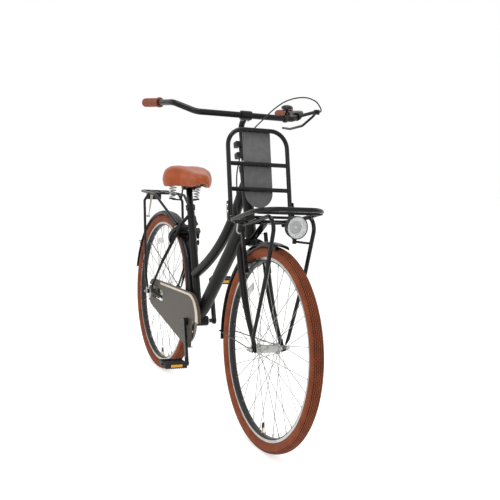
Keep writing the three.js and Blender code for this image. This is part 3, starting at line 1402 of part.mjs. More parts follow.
// Front brake: two long arms with pads, a bent guide tube and the cable
const caliper = {
  height: 416, topHalf: 46, thickness: 11, root: 8, tip: 5, padHeight: 9, padThickness: 9,
  padGap: 1.3, padPost: 3.2, padInset: 1, wire: 1, wireEnd: 30,
};
const padSpread = 5.4;
const armFront = boss.front + gap;
const armMiddle = armFront + caliper.thickness / 2;
const padRadius = rimRadius - rimTrack / 2 - caliper.padInset;
function makeCaliperArm(side) {
  const root = side * boss.half;
  const top = side * caliper.topHalf;
  // The arm is drawn in the YZ plane and has its thickness along the bike.
  const outline = [
    [root - caliper.root, boss.height - caliper.root],
    [root + caliper.root, boss.height - caliper.root],
    [top + caliper.tip, caliper.height + caliper.tip],
    [top - caliper.tip, caliper.height + caliper.tip],
  ].map(([y, z]) => new THREE.Vector2(y, z));
  const arm = new THREE.ExtrudeGeometry(new THREE.Shape(outline), {
    depth: caliper.thickness, bevelEnabled: false,
  });
  arm.rotateX(Math.PI / 2).rotateZ(Math.PI / 2).translate(armFront, 0, 0);
  const padAngle = deg(Math.acos((armMiddle - forkRake) / padRadius));
  const inner = rimWidth / 2 + caliper.padGap;
  const low = padAngle - padSpread;
  const high = padAngle + padSpread;
  const pad = plate([
    ...arc(forkRake, 0, padRadius + caliper.padHeight / 2, low, high, 6),
    ...arc(forkRake, 0, padRadius - caliper.padHeight / 2, high, low, 6),
  ], ...span(side, inner, inner + caliper.padThickness));
  const padZ = padRadius * Math.sin(rad(padAngle));
  const padPost = rod(
    v(armMiddle, side * (inner + caliper.padThickness / 2), padZ),
    v(armMiddle, root, padZ), caliper.padPost,
  );
  const parts = [arm, pad, padPost];
  // The inner wire is held by the left arm and runs towards the right one.
  if (side > 0) {
    parts.push(rod(v(armMiddle, top, caliper.height),
      v(armMiddle, -caliper.wireEnd, caliper.height), caliper.wire, 6));
  }
  const hole = rod(
    v(armFront - overrun, root, boss.height),
    v(armFront + caliper.thickness + overrun, root, boss.height), around(boss.stud, 8), 8,
  );
  return cut(join(...parts), hole);
}
for (const side of sides) {
  add(steering, `brake_arm_${sideNames.get(side)}`, makeCaliperArm(side), plasticBlack());
}

const guide = { radius: 2.6, bend: 10, reach: 17 };
const guideStart = at({ x: 898, y: -59, z: 775 });
const guideEnd = fromSteering(
  armMiddle, -caliper.topHalf - caliper.tip - gap, caliper.height,
);
const guideCorner = guideEnd.clone().add(v(0, -guide.reach, 0));
add(riding, 'brake_guide', tube(
  bend([guideStart, guideCorner, guideEnd], guide.bend, 24), guide.radius, 8,
), silver());

// The cable's route from the lever to the guide tube, in the bike's frame
const cableRadius = 2.5;
const cableRoute = [
  [834, 281, 1190], [842, 272, 1202], [836, 256, 1222], [818, 231, 1234], [805, 200, 1233],
  [800, 168, 1224], [801, 134, 1208], [805, 91, 1176], [813, 52, 1140], [822, 14, 1104],
  [824, -14, 1056], [819, -30, 1005], [818, -37, 965], [829, -44, 930], [846, -48, 885],
  [864, -51, 842], [883, -55.5, 805],
];
function makeCable() {
  const last = guideStart.clone()
    .addScaledVector(guideStart.clone().sub(guideCorner).normalize(), gap);
  const points = [
    fromLever(webEnd + holder.adjuster + gap), fromLever(webEnd + holder.adjuster + holder.lead),
    ...cableRoute.map((p) => v(...p)), last,
  ];
  const curve = new THREE.CatmullRomCurve3(points, false, 'centripetal');
  return tube(curve.getPoints(21), cableRadius, 8);
}
add(riding, 'brake_cable', makeCable(), plasticBlack());

// Front carrier. Its own frame has x ahead, z up, and its origin at the tray's front edge.
const tilt = -rad(carrierTilt);
const onCarrier = (x, y, z) => v(x, y, z).applyAxisAngle(v(0, 1, 0), tilt)
  .add(v(carrierReach, 0, carrierHeight));
const placeCarrier = (geometry) => (
  geometry.rotateY(tilt).translate(carrierReach, 0, carrierHeight)
);
const carrier = {
  bend: 67, strut: 7, strutDrop: 16, strutBack: 237, strutLead: 8, strutBend: 40, bar: 5,
  barDrop: 6, stubBack: 256, stubHeight: 70, stubWidth: 18, stubThickness: 4, bolt: 5, boltHead: 4,
  boltLow: 32, boltHigh: 54, strip: 4, stripTop: 11, stripBend: 8, stripLead: 20, stripEnd: 200,
};
const strutKnee = at({ x: 1182, y: 72, z: 640 });
const strutEnd = at({ x: 1103, y: 68, z: 392 });
const trayBarShares = [0.146, 0.473, 0.782];
const lamp = {
  radius: 39, back: 30, front: 16, recess: 10, rim: 2.2, dome: 4, boss: 7, bossHeight: 12, arm: 4,
};
const lampCentre = at({ x: 1166, y: 30, z: 787 });
function makeFrontCarrier() {
  const c = carrier;
  const side = [v(-trayLength, trayHalf, 0), v(0, trayHalf, 0)];
  const loop = [...side, ...flip(side).reverse()];
  const parts = [placeCarrier(tube(bend(loop, c.bend), carrierTubeRadius, 6))];
  for (const share of trayBarShares) {
    const x = -trayLength * share;
    parts.push(placeCarrier(rod(v(x, -trayHalf, -c.barDrop), v(x, trayHalf, -c.barDrop), c.bar, 6)));
  }
  const knee = onCarrier(c.strutLead, strutHalf, -c.strutDrop);
  const strut = [onCarrier(-c.strutBack, strutHalf, -c.strutDrop), knee, strutKnee, strutEnd];
  const stub = restHalf + carrierTubeRadius + gap;
  for (const way of sides) {
    parts.push(tube(bend(way > 0 ? strut : flip(strut), c.strutBend), c.strut, 6));
    const eyeSpan = span(way, frontCarrierEyeStart, frontCarrierEyeStart + eyeWidth);
    parts.push(plate([
      [frontAxle.x - eyeRadius, axleHeight], [frontAxle.x + eyeRadius, axleHeight],
      [strutEnd.x + c.strut, strutEnd.z], [strutEnd.x - c.strut, strutEnd.z],
    ], ...eyeSpan));
    parts.push(pin(eyeRadius, ...eyeSpan, frontAxle.x, axleHeight));
    // Upright stubs hold the back rest from outside, each with two bolt heads.
    parts.push(placeCarrier(box(
      -c.stubBack - c.stubWidth / 2, -c.stubBack + c.stubWidth / 2,
      ...span(way, stub, stub + c.stubThickness), 0, c.stubHeight,
    )));
    for (const z of [c.boltLow, c.boltHigh]) {
      const head = span(way, stub + gap, stub + c.stubThickness + c.boltHead);
      parts.push(placeCarrier(pin(c.bolt, ...head, -c.stubBack, z, 6)));
    }
  }
  // Strip from the fork crown up to the rearmost bar of the tray
  const foot = crownPad.front + gap + c.strip / 2;
  const strip = [
    fromSteering(foot, 0, crownHeight - crownPad.below),
    fromSteering(foot, 0, crownHeight + c.stripTop),
    onCarrier(-trayLength * trayBarShares[2] - c.stripLead, 0, -c.barDrop - c.bar),
    onCarrier(-c.stripEnd, 0, -c.barDrop - c.bar),
  ];
  const section = [[-1, -1], [1, -1], [1, 1], [-1, 1]].map(([a, b]) => (
    new THREE.Vector2(a * crownPad.half, (b * c.strip) / 2)
  ));
  parts.push(sweep(section, bend(strip, c.stripBend, 45)));
  // Arm from the left strut to a boss under the light
  const level = knee.clone().lerp(strutKnee, 0.5);
  const bossTop = lampCentre.z - lamp.radius - gap;
  const mount = v(lampCentre.x + lamp.boss, lampCentre.y, bossTop - lamp.bossHeight);
  parts.push(rod(level, mount.clone().add(v(0, 0, lamp.arm)), lamp.arm, 6));
  parts.push(post(lamp.boss, mount.z, bossTop, 10).translate(mount.x, mount.y, 0));
  const wheelHole = pin(
    axleHole, -frontNutStart - overrun, frontNutStart + overrun, frontAxle.x, axleHeight,
  );
  return cut(join(...parts), wheelHole);
}
add(riding, 'front_carrier', makeFrontCarrier(), glossBlack());

// Back rest: an upright loop with two cross bars
const rest = { bend: 62, foot: 18, lowBar: 113, highBar: 204, bar: 7.7 };
function makeBackRest() {
  const back = -carrier.stubBack;
  const side = [v(back, restHalf, rest.foot), v(back, restHalf, restHeight)];
  const path = bend([...side, ...flip(side).reverse()], rest.bend);
  const bars = [rest.lowBar, rest.highBar].map((z) => (
    rod(v(back, -restHalf, z), v(back, restHalf, z), rest.bar, 6)
  ));
  return placeCarrier(join(tube(path, carrierTubeRadius, 6), ...bars));
}
add(riding, 'back_rest', makeBackRest(), glossBlack());

// Plate behind the back rest's bars, straight above and round below
const namePlate = { half: 54.5, bottom: 51, thickness: 2.5 };
function makeNamePlate() {
  const { half, bottom, thickness } = namePlate;
  const outline = [...arc(0, bottom + half, half, 180, 360, 8), [half, restHeight], [-half, restHeight]];
  const panel = plate(outline, 0, thickness).rotateZ(Math.PI / 2);
  return placeCarrier(panel.translate(-carrier.stubBack - carrierTubeRadius - gap, 0, 0));
}
add(riding, 'name_plate', makeNamePlate(), look(0x77757a, 0.5));

// Headlight: housing with a front recess, and the lens in it
const lampBackShares = [[0, -1], [0.46, -0.9], [0.8, -0.5], [1, 0]];
const aheadAtLamp = (geometry) => (
  geometry.rotateZ(-Math.PI / 2).translate(lampCentre.x, lampCentre.y, lampCentre.z)
);
const lensSeat = lamp.front - lamp.recess;
add(riding, 'lamp_housing', aheadAtLamp(turned([
  ...lampBackShares.map(([r, x]) => [r * lamp.radius, x * lamp.back]),
  [lamp.radius, lamp.front], [lamp.radius - lamp.rim, lamp.front],
  [lamp.radius - lamp.rim, lensSeat], [0, lensSeat],
], 12)), plasticBlack());
const lensRadius = lamp.radius - lamp.rim - gap;
const lensShares = [[1, 0], [0.7, 0.7], [0, 1]];
add(riding, 'lamp_lens', aheadAtLamp(turned([
  [0, lensSeat + gap], [lensRadius, lensSeat + gap],
  ...lensShares.map(([r, x]) => [r * lensRadius, lamp.front + x * lamp.dome]),
], 12)), look(0xe8ecee, 0.08, 0.3));

bike.position.x = -wheelbase / 2;
export default bike;
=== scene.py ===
import math

import bmesh
import bpy
from mathutils import Matrix, Quaternion, Vector


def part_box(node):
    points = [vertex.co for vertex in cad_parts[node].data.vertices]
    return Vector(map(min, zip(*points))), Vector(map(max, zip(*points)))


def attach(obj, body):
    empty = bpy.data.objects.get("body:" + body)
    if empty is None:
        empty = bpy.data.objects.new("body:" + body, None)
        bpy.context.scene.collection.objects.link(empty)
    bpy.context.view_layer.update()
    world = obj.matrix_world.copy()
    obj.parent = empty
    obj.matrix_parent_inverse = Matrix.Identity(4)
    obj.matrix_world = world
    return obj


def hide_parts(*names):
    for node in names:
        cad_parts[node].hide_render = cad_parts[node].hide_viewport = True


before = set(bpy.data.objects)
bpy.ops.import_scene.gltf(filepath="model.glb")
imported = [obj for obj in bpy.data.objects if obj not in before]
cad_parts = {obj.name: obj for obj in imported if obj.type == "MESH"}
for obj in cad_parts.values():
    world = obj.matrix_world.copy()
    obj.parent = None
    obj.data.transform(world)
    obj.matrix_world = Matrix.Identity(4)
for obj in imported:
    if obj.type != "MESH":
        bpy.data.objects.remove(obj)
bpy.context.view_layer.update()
scene = bpy.context.scene
show = scene.collection.objects.link

# Camera: the photograph looks at the bike's right front from a little above the saddle.
# It stands 3.3 metres away on a short telephoto lens, rolled by a few degrees.
camera_place = (3.08837, -1.29772, 1.05207)
yaw, pitch, roll = (math.radians(angle) for angle in (154.69, -7.15, 3.84))
camera_data = bpy.data.cameras.new("camera")
camera_data.lens = 60.95
camera_data.sensor_width = 36
camera = bpy.data.objects.new("camera", camera_data)
show(camera)
scene.camera = camera
ahead = Vector((math.cos(yaw) * math.cos(pitch), math.sin(yaw) * math.cos(pitch), math.sin(pitch)))
level = Vector((math.sin(yaw), -math.cos(yaw), 0))
upright = level.cross(ahead)
right = math.cos(roll) * level + math.sin(roll) * upright
up = math.cos(roll) * upright - math.sin(roll) * level
camera_turn = Matrix((right, up, -ahead)).transposed().to_4x4()
camera.matrix_world = Matrix.Translation(camera_place) @ camera_turn


# Studio: a pale seamless floor under a soft lamp overhead, with three weaker lamps round the bike.
# The backdrop is plain white where the camera, gloss or glass sees it, and the floor keeps a soft shadow.
def add_math(tree, operation, *values):
    """Adds a math node, fed with numbers or with other nodes' outputs, and gives its output."""
    node = tree.nodes.new("ShaderNodeMath")
    node.operation = operation
    for socket, value in zip(node.inputs, values):
        if isinstance(value, bpy.types.NodeSocket):
            tree.links.new(value, socket)
        else:
            socket.default_value = value
    return node.outputs[0]


def connect(tree, *pairs):
    """Links each output to its input."""
    for source, target in pairs:
        tree.links.new(source, target)


def feed(node, values):
    """Sets the node's inputs to these values, by their names."""
    for name, value in values.items():
        node.inputs[name].default_value = value


scene.view_settings.view_transform = "Standard"
world = bpy.data.worlds.new("studio")
scene.world = world
world.use_nodes = True
sky = world.node_tree.nodes["Background"]
feed(sky, {"Color": (1, 1, 1, 1)})
ray = world.node_tree.nodes.new("ShaderNodeLightPath").outputs
through = add_math(world.node_tree, "MAXIMUM", ray["Is Camera Ray"], ray["Is Transmission Ray"])
in_sight = add_math(world.node_tree, "MAXIMUM", through, ray["Is Glossy Ray"])
sky_strength = add_math(world.node_tree, "MULTIPLY_ADD", in_sight, 0.5, 0.5)
world.node_tree.links.new(sky_strength, sky.inputs["Strength"])
lamp_target = Vector((0, 0, 0.6))
for name, place, size, power in (
    ("overhead lamp", (0.6, -0.4, 3.4), 1.8, 38),
    ("camera side lamp", (3.2, -2.6, 2.2), 2.0, 22),
    ("drive side lamp", (-1.5, -3.4, 2.0), 1.8, 16),
    ("left side lamp", (1.2, 3.4, 2.0), 1.8, 16),
):
    lamp_data = bpy.data.lights.new(name, "AREA")
    lamp_data.size = size
    lamp_data.energy = power
    studio_lamp = bpy.data.objects.new(name, lamp_data)
    studio_lamp.location = place
    studio_lamp.rotation_euler = (lamp_target - Vector(place)).to_track_quat("-Z", "Y").to_euler()
    show(studio_lamp)
floor_mesh = bpy.data.meshes.new("floor")
floor_shape = bmesh.new()
bmesh.ops.create_grid(floor_shape, x_segments=8, y_segments=8, size=14)
floor_shape.to_mesh(floor_mesh)
floor_shape.free()
floor = bpy.data.objects.new("floor", floor_mesh)
show(floor)
floor_finish = bpy.data.materials.new("white floor")
floor_finish.use_nodes = True
floor_shader = floor_finish.node_tree.nodes["Principled BSDF"]
feed(floor_shader, {"Base Color": (0.96, 0.96, 0.955, 1), "Roughness": 0.7})
feed(floor_shader, {"Specular IOR Level": 0.1, "Emission Color": (1, 1, 1, 1)})
floor_ray = floor_finish.node_tree.nodes.new("ShaderNodeLightPath").outputs
floor_glow = add_math(floor_finish.node_tree, "MULTIPLY_ADD", floor_ray["Is Camera Ray"], 0.2, 0.34)
floor_finish.node_tree.links.new(floor_glow, floor_shader.inputs["Emission Strength"])
floor_mesh.materials.append(floor_finish)


# Main frame: mitred steel tubes, welded, in satin black paint. The curved low top tube and the thick down
# tube run into a short head tube, and thin stays hold the rear drop-outs, which are flat steel plates.
def make_finish(
    name, tones, rough, metal=0.0, patches=30, grain=700, bump=0.15, cells=0, coat=0.0, specular=0.5,
):
    """A surface whose tone and gloss vary in soft patches, with a fine grain, or with cells as in leather."""
    finish = bpy.data.materials.new(name)
    finish.use_nodes = True
    tree = finish.node_tree
    shader = tree.nodes["Principled BSDF"]
    feed(shader, {"Metallic": metal, "Coat Weight": coat, "Specular IOR Level": specular})
    place = tree.nodes.new("ShaderNodeTexCoord")
    patch = tree.nodes.new("ShaderNodeTexNoise")
    feed(patch, {"Scale": patches, "Detail": 5})
    mix = tree.nodes.new("ShaderNodeValToRGB")
    mix.color_ramp.elements[0].position = 0.35
    mix.color_ramp.elements[1].position = 0.68
    for stop, tone in zip(mix.color_ramp.elements, tones):
        stop.color = (*tone, 1)
    gloss = tree.nodes.new("ShaderNodeMapRange")
    feed(gloss, {"From Min": 0.3, "From Max": 0.7, "To Min": rough[0], "To Max": rough[1]})
    fine = tree.nodes.new("ShaderNodeTexVoronoi" if cells else "ShaderNodeTexNoise")
    feed(fine, {"Scale": cells or grain})
    if cells:
        fine.feature = "DISTANCE_TO_EDGE"
    raised = tree.nodes.new("ShaderNodeBump")
    feed(raised, {"Strength": bump, "Distance": 0.0005})
    connect(
        tree,
        (place.outputs["Object"], patch.inputs["Vector"]),
        (place.outputs["Object"], fine.inputs["Vector"]),
        (patch.outputs[0], mix.inputs[0]),
        (mix.outputs[0], shader.inputs["Base Color"]),
        (patch.outputs[0], gloss.inputs["Value"]),
        (gloss.outputs[0], shader.inputs["Roughness"]),
        (fine.outputs[0], raised.inputs["Height"]),
        (raised.outputs["Normal"], shader.inputs["Normal"]),
    )
    return finish


def join_in(bm, part, place=Matrix(), material=0):
    """Moves the small mesh part to its place, gives it a material number and adds it to the piece."""
    bmesh.ops.transform(part, matrix=place, verts=part.verts)
    bmesh.ops.remove_doubles(part, verts=part.verts, dist=1e-3)
    bmesh.ops.recalc_face_normals(part, faces=part.faces)
    for face in part.faces:
        face.material_index = material
    mesh = bpy.data.meshes.new("part")
    part.to_mesh(mesh)
    part.free()
    bm.from_mesh(mesh)
    bpy.data.meshes.remove(mesh)


def round_corners(points, radius, step=9):
    """The path with an arc of that radius at each corner."""
    points = [Vector(point) for point in points]
    path = points[:1]
    for before, corner, after in zip(points, points[1:], points[2:]):
        back = (before - corner).normalized()
        onward = (after - corner).normalized()
        turn = math.pi - back.angle(onward)
        reach = radius * math.tan(turn / 2)
        centre = corner + (back + onward).normalized() * radius / math.cos(turn / 2)
        arm = corner + back * reach - centre
        axis = arm.cross(corner + onward * reach - centre).normalized()
        steps = max(2, math.ceil(math.degrees(turn) / step))
        path += [centre + Quaternion(axis, turn * k / steps) @ arm for k in range(steps + 1)]
    return path + points[-1:]


def on_side(points, side):
    """The points on the bike's left where side is 1, and mirrored to its right where it is -1."""
    return [(x, side * y, z) for x, y, z in points]


def add_tube(bm, path, radius, facets, closed=False, material=0):
    """Adds a round tube along the path. radius is one number, or one for each point."""
    radii = radius if isinstance(radius, (list, tuple)) else [radius] * len(path)
    curve = bpy.data.curves.new("tube", "CURVE")
    curve.dimensions = "3D"
    curve.bevel_depth = 1
    curve.bevel_resolution = (facets - 4) // 2
    curve.use_fill_caps = not closed
    line = curve.splines.new("POLY")
    line.points.add(len(path) - 1)
    line.use_cyclic_u = closed
    for point, place, size in zip(line.points, path, radii):
        point.co = (*place, 1)
        point.radius = size
    holder = bpy.data.objects.new("tube", curve)
    mesh = bpy.data.meshes.new_from_object(holder)
    part = bmesh.new()
    part.from_mesh(mesh)
    join_in(bm, part, material=material)
    bpy.data.objects.remove(holder)
    bpy.data.curves.remove(curve)
    bpy.data.meshes.remove(mesh)


def facing(place, direction):
    """A matrix that puts a turned shape's axis along the direction, with its origin at place."""
    return Matrix.Translation(place) @ Vector(direction).to_track_quat("Z", "Y").to_matrix().to_4x4()


def add_turned(bm, profile, place, steps, material=0):
    """Adds a solid turned round its local Z axis from (radius, height) points."""
    part = bmesh.new()
    points = [part.verts.new((r, 0, h)) for r, h in profile]
    edges = [part.edges.new(pair) for pair in zip(points, points[1:])]
    bmesh.ops.spin(part, geom=points + edges, axis=(0, 0, 1), angle=math.tau, steps=steps, use_merge=True)
    join_in(bm, part, place, material)


def add_sleeve(bm, inner, outer, low, high, place, steps, slim=0.6, rise=0.6):
    """Adds a hollow sleeve between two heights, its outer edges taken off by slim across and rise along."""
    half = [(inner, low), (outer - slim, low), (outer, low + rise)]
    rest = [(outer, high - rise), (outer - slim, high), (inner, high), (inner, low)]
    add_turned(bm, half + rest, place, steps)


def rounded_outline(corners, radius):
    """A plate's outline, closed across its first corner, with an arc of that radius at the others."""
    path = round_corners([(x, y, 0) for x, y in corners + corners[:1]], radius)[1:-1]
    return [(point.x, point.y) for point in path]


def add_plate(bm, outline, low, high, place, edge=0.6):
    """Adds a flat plate: an outline in local X and Y, from one height to another, with rounded edges."""
    part = bmesh.new()
    face = part.faces.new([part.verts.new((x, y, low)) for x, y in outline])
    raised = bmesh.ops.extrude_face_region(part, geom=[face])["geom"]
    moved = [item for item in raised if isinstance(item, bmesh.types.BMVert)]
    bmesh.ops.translate(part, vec=(0, 0, high - low), verts=moved)
    bmesh.ops.recalc_face_normals(part, faces=part.faces)
    rims = [item for item in part.edges if abs(item.verts[0].co.z - item.verts[1].co.z) < 1e-6]
    bmesh.ops.bevel(part, geom=rims, offset=edge, segments=2, affect="EDGES", profile=0.5, material=-1)
    join_in(bm, part, place)


def new_piece(name, bm, body, slot, finishes, *replaced, sharp=38):
    """Makes the mesh a piece of the bike that rides on a body and stands for CAD nodes."""
    bmesh.ops.scale(bm, vec=(0.001, 0.001, 0.001), verts=bm.verts)
    mesh = bpy.data.meshes.new(name)
    bm.to_mesh(mesh)
    bm.free()
    for finish in finishes:
        mesh.materials.append(finish)
    mesh.shade_smooth()
    mesh.set_sharp_from_angle(angle=math.radians(sharp))
    piece = bpy.data.objects.new(name, mesh)
    show(piece)
    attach(piece, body)
    if replaced:
        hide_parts(*replaced)
    return piece


satin_black = make_finish(
    "satin black paint", ((0.007, 0.0065, 0.006), (0.013, 0.012, 0.011)), (0.28, 0.4),
    patches=9, grain=1400, bump=0.05, specular=0.16,
)
sides = (1, -1)
forward, across, upward = (Vector(axis) for axis in ((1, 0, 0), (0, 1, 0), (0, 0, 1)))
stand_up = Matrix.Rotation(math.pi / 2, 4, "X")
axles = {"rear": Vector((-545.5, 0, 355.64)), "front": Vector((545.5, 0, 355.64))}
steer_up = Vector((-0.358368, 0, 0.93358))
steer_ahead = Vector((0.93358, 0, 0.358368))
steer_foot = Vector((494.2, 0, 335.9))
bracket = Vector((-100.5, 0, 312))
seat_top = Vector((-278.3, 0, 775.1))
drop_out_half = 2.5


def curved(a, b, c, d, steps=40):
    """Points on the cubic curve with these four control points."""
    a, b, c, d = (Vector(point) for point in (a, b, c, d))
    path = []
    for k in range(steps + 1):
        t = k / steps
        path.append(a * (1 - t) ** 3 + b * 3 * t * (1 - t) ** 2 + c * 3 * t * t * (1 - t) + d * t ** 3)
    return path


bm = bmesh.new()
top_tube = curved((-171.5, 0, 497), (60.1, 0, 615), (167.8, 0, 722.8), (271.1, 0, 917))
add_tube(bm, top_tube, [20] * 38 + [19.6, 18.5, 16.5], 24)
down_tube = [Vector((-100.5, 0, 328)).lerp(Vector((309.4, 0, 792.5)), k / 20) for k in range(21)]
add_tube(bm, down_tube, [17, 22, 25.5] + [26] * 15 + [25, 22, 17.5], 28)
add_tube(bm, [bracket, bracket.lerp(seat_top, 0.5), seat_top], 16, 24)
head_bore = 15.6
for radius, low, high in ((22, 411, 434), (20, 433, 657), (22, 656, 676)):
    add_sleeve(bm, head_bore, radius, low, high, facing(steer_foot, steer_up), 40, 1.2, 1.5)
add_sleeve(bm, 17.2, 21, -34, 34, facing(bracket, across), 40, 1, 1.2)
chain_stay = [
    (-115.5, 26, 311), (-170.5, 35, 319), (-211.5, 36, 320),
    (-421.5, 44, 346), (-490.5, 60, 352), (-504.5, 64.5, 354),
]
seat_stay = [(-260.6, 14, 729), (-284, 31, 697), (-437.5, 57, 506), (-540.5, 64.5, 376)]
rear_drop_out = rounded_outline(
    [(-28, -12), (23.5, -14.4), (50.4, -9.6), (50.4, 4.8), (22.4, 25.6), (-11.2, 25.6), (-28, 12)], 4)
for side in sides:
    for stay, bend in ((chain_stay, 14), (seat_stay, 40)):
        path = round_corners(on_side(stay, side), bend)
        add_tube(bm, path, [7] * (len(path) - 2) + [6.5, 4.2], 16)
    place = Matrix.Translation(axles["rear"] + across * side * 64.5) @ stand_up
    add_plate(bm, rear_drop_out, -drop_out_half, drop_out_half, place)
for x, y, z in ((-318.3, 36.8, 654.3), (-172, 35, 319)):
    add_tube(bm, [(x, -y, z), (x, 0, z), (x, y, z)], 5, 16)
for share in (0.35, 0.6):
    spot = down_tube[0].lerp(down_tube[-1], share) - across * 25.4
    add_turned(bm, [(0, -2), (4.2, -2), (4.2, 0.6), (3.2, 1.6), (0, 1.8)], facing(spot, -across), 16)
new_piece("frame_tubes", bm, "main_frame", "frame_paint", [satin_black], "frame")


# Fork: a steel crown tube bent down into two blades that thin out and curve forward to the drop-outs.
# Bosses carry the rim brake's arms, and a pad at the crown carries the front carrier's strip.
def steered(x, y, z):
    """A point given ahead of, beside and up along the steering axis, in the bike's own axes."""
    return steer_foot + steer_ahead * x + steer_up * z + Vector((0, y, 0))


crown_height = 392
blade_side = 50
blade_top, blade_foot = 312, 14
blade_steps = 24
fork_rake = 55
drop_out_turn = Matrix.Rotation(-0.3665, 4, "Y")
front_drop_out = rounded_outline([(-11, -11), (0, -13), (11, -11), (12, 6), (7, 33), (-7, 33), (-12, 6)], 4)
brake_boss = [(0, 0), (6, 0), (6, 19), (5.2, 20), (4, 20.2), (4, 24), (0, 24)]
fender_boss = [(0, 0), (3, 0), (3, 6), (0, 6)]
crown_race = [(0, 378), (14, 378), (17, 382), (20, 405), (20, 411), (0, 413.4)]
bm = bmesh.new()
for side in sides:
    crown = round_corners([
        steered(0, 0, crown_height), steered(0, side * blade_side, crown_height),
        steered(0, side * blade_side, blade_top),
    ], 36)
    blade, sizes = [], []
    for k in range(1, blade_steps + 1):
        share = 1 - k / blade_steps
        low = 1 - share
        height = blade_foot + (blade_top - blade_foot) * share
        blade.append(steered(fork_rake * low ** 2.1, side * (blade_side + 1.3 * low), height))
        sizes.append(7 + 6 * min(1, share / 0.65))
    add_tube(bm, crown + blade, [13] * len(crown) + sizes, 20)
    place = Matrix.Translation(axles["front"] + across * side * 52.8) @ drop_out_turn @ stand_up
    add_plate(bm, front_drop_out, -drop_out_half, drop_out_half, place)
    add_turned(bm, brake_boss, facing(steered(0, side * 44, 280), steer_ahead), 20)
    add_turned(bm, fender_boss, facing(steered(8, side * 52, 200), across * side), 12)
add_turned(bm, crown_race, facing(steer_foot, steer_up), 32)
add_turned(bm, [(0, 0), (11, 0), (11, 12), (9, 15), (0, 16)], facing(steered(0, 0, 389.5), steer_ahead), 24)
new_piece("fork_tubes", bm, "steering", "frame_paint", [satin_black], "fork")


# Handlebar and stem: a bent steel bar in gloss black, clamped in a quill stem that slides in the fork's
# steerer. The stem has two clamp bolts under its nose and its wedge bolt on top.
def mirrored(points):
    """The points of a left half, then those of its right half in return order."""
    return points + on_side(points[::-1], -1)


gloss_black = make_finish(
    "gloss black paint", ((0.004, 0.004, 0.004), (0.009, 0.009, 0.009)), (0.12, 0.2),
    patches=11, grain=1500, bump=0.03, specular=0.24,
)
bright_steel = make_finish(
    "bright steel", ((0.42, 0.42, 0.41), (0.6, 0.6, 0.58)), (0.2, 0.36), 1.0,
    patches=45, grain=1100, bump=0.06,
)
bar_end, bar_bend, bar_low = (-74.2, 285, 1181.2), (171.8, 262, 1181.2), (231.8, 195, 1153.2)
bm = bmesh.new()
add_tube(bm, round_corners(mirrored([bar_end, bar_bend, bar_low]), 45, 5), 11.1, 24)
new_piece("bent_bar", bm, "steering", "frame_paint", [gloss_black], "handlebar")
bm = bmesh.new()
clamp_centre = steered(47.9, 0, 857)
add_tube(bm, round_corners([steered(0, 0, 624), steered(0, 0, 836), clamp_centre], 26), 11, 24)
add_sleeve(bm, 11.3, 17, -21, 21, facing(clamp_centre, across), 36, 1, 1.2)
wedge_bolt = [(0, 0), (7, 0), (7, 2), (6, 3), (4, 3.4), (3.6, 1.4), (0, 1.4)]
add_turned(bm, wedge_bolt, facing(steered(0, 0, 843), steer_up), 24, 1)
for side in sides:
    place = facing(steered(40, side * 12, 842), -steer_up)
    add_turned(bm, [(0, -6), (4.5, -6), (4.5, 3), (3.6, 4), (0, 4)], place, 18, 1)
new_piece("quill_stem", bm, "steering", "frame_paint", [gloss_black, bright_steel], "stem")

# Grips: tan rubber with a leather look, ribbed all round, pushed over the ends of the bar.
# Each has a raised collar at the thumb and a domed end.
grip_leather = make_finish(
    "tan grip leather", ((0.19, 0.05, 0.024), (0.29, 0.083, 0.042)), (0.4, 0.55),
    patches=60, cells=520, bump=0.25, specular=0.25,
)
rib_count, rib_pitch = 29, 4
for side, node in ((1, "grip_left"), (-1, "grip_right")):
    bm = bmesh.new()
    end, bend = (Vector(point) for point in on_side([bar_end, bar_bend], side))
    profile = [(11.3, -130), (17.6, -130), (18.8, -129), (18.8, -125.5), (17.6, -124), (15.9, -123)]
    for k in range(rib_count):
        rib = rib_pitch * k
        profile += [(15.4, rib - 121.6), (16.5, rib - 120.6), (16.5, rib - 118.8), (15.4, rib - 117.9)]
    profile += [(16.4, -4), (16.4, 1), (14.5, 3.8), (9, 4.8), (0, 5), (0, 0.3), (11.3, 0.3), (11.3, -130)]
    add_turned(bm, profile, facing(end, (end - bend).normalized()), 32)
    new_piece(f"ribbed_{node}", bm, "steering", "grip_cover", [grip_leather], node, sharp=50)

# Bell: a black plated steel dome that turns on a pin over its flat base.
# A bent leg joins the base to a clamp round the bar, left of the stem.
dark_steel = make_finish(
    "black plated steel", ((0.012, 0.012, 0.012), (0.028, 0.028, 0.028)), (0.22, 0.34), 0.6,
    patches=35, grain=1300, bump=0.05,
)
dome_radius, dome_rim, dome_rise = 22, 13.6, 10.4
bm = bmesh.new()
bell_foot = Vector((222.5, 172, 1181))
bell_place = facing(bell_foot, upward)
dome = [(dome_radius, 8), (dome_radius, dome_rim)]
for angle in range(10, 90, 10):
    share = math.radians(angle)
    dome.append((dome_radius * math.cos(share), dome_rim + dome_rise * math.sin(share)))
add_turned(bm, [(0, 0), (19.4, 0), (20, 0.8), (20, 3.2), (19.2, 4), (0, 4)], bell_place, 40)
add_turned(bm, [(0, 8)] + dome + [(0, dome_rim + dome_rise)], bell_place, 40)
add_turned(bm, [(0, 3.5), (3.5, 3.5), (3.5, 8.5), (0, 8.5)], bell_place, 16)
add_sleeve(bm, 11.4, 15.2, -6, 6, facing((231.8, 162, 1153.2), across), 32, 0.6, 0.8)
add_tube(bm, [(228, 164, 1164), (225, 168, 1172), (222.5, 172, 1182)], 4.6, 12)
new_piece("bell_dome", bm, "steering", "dark_metal", [dark_steel], "bell")

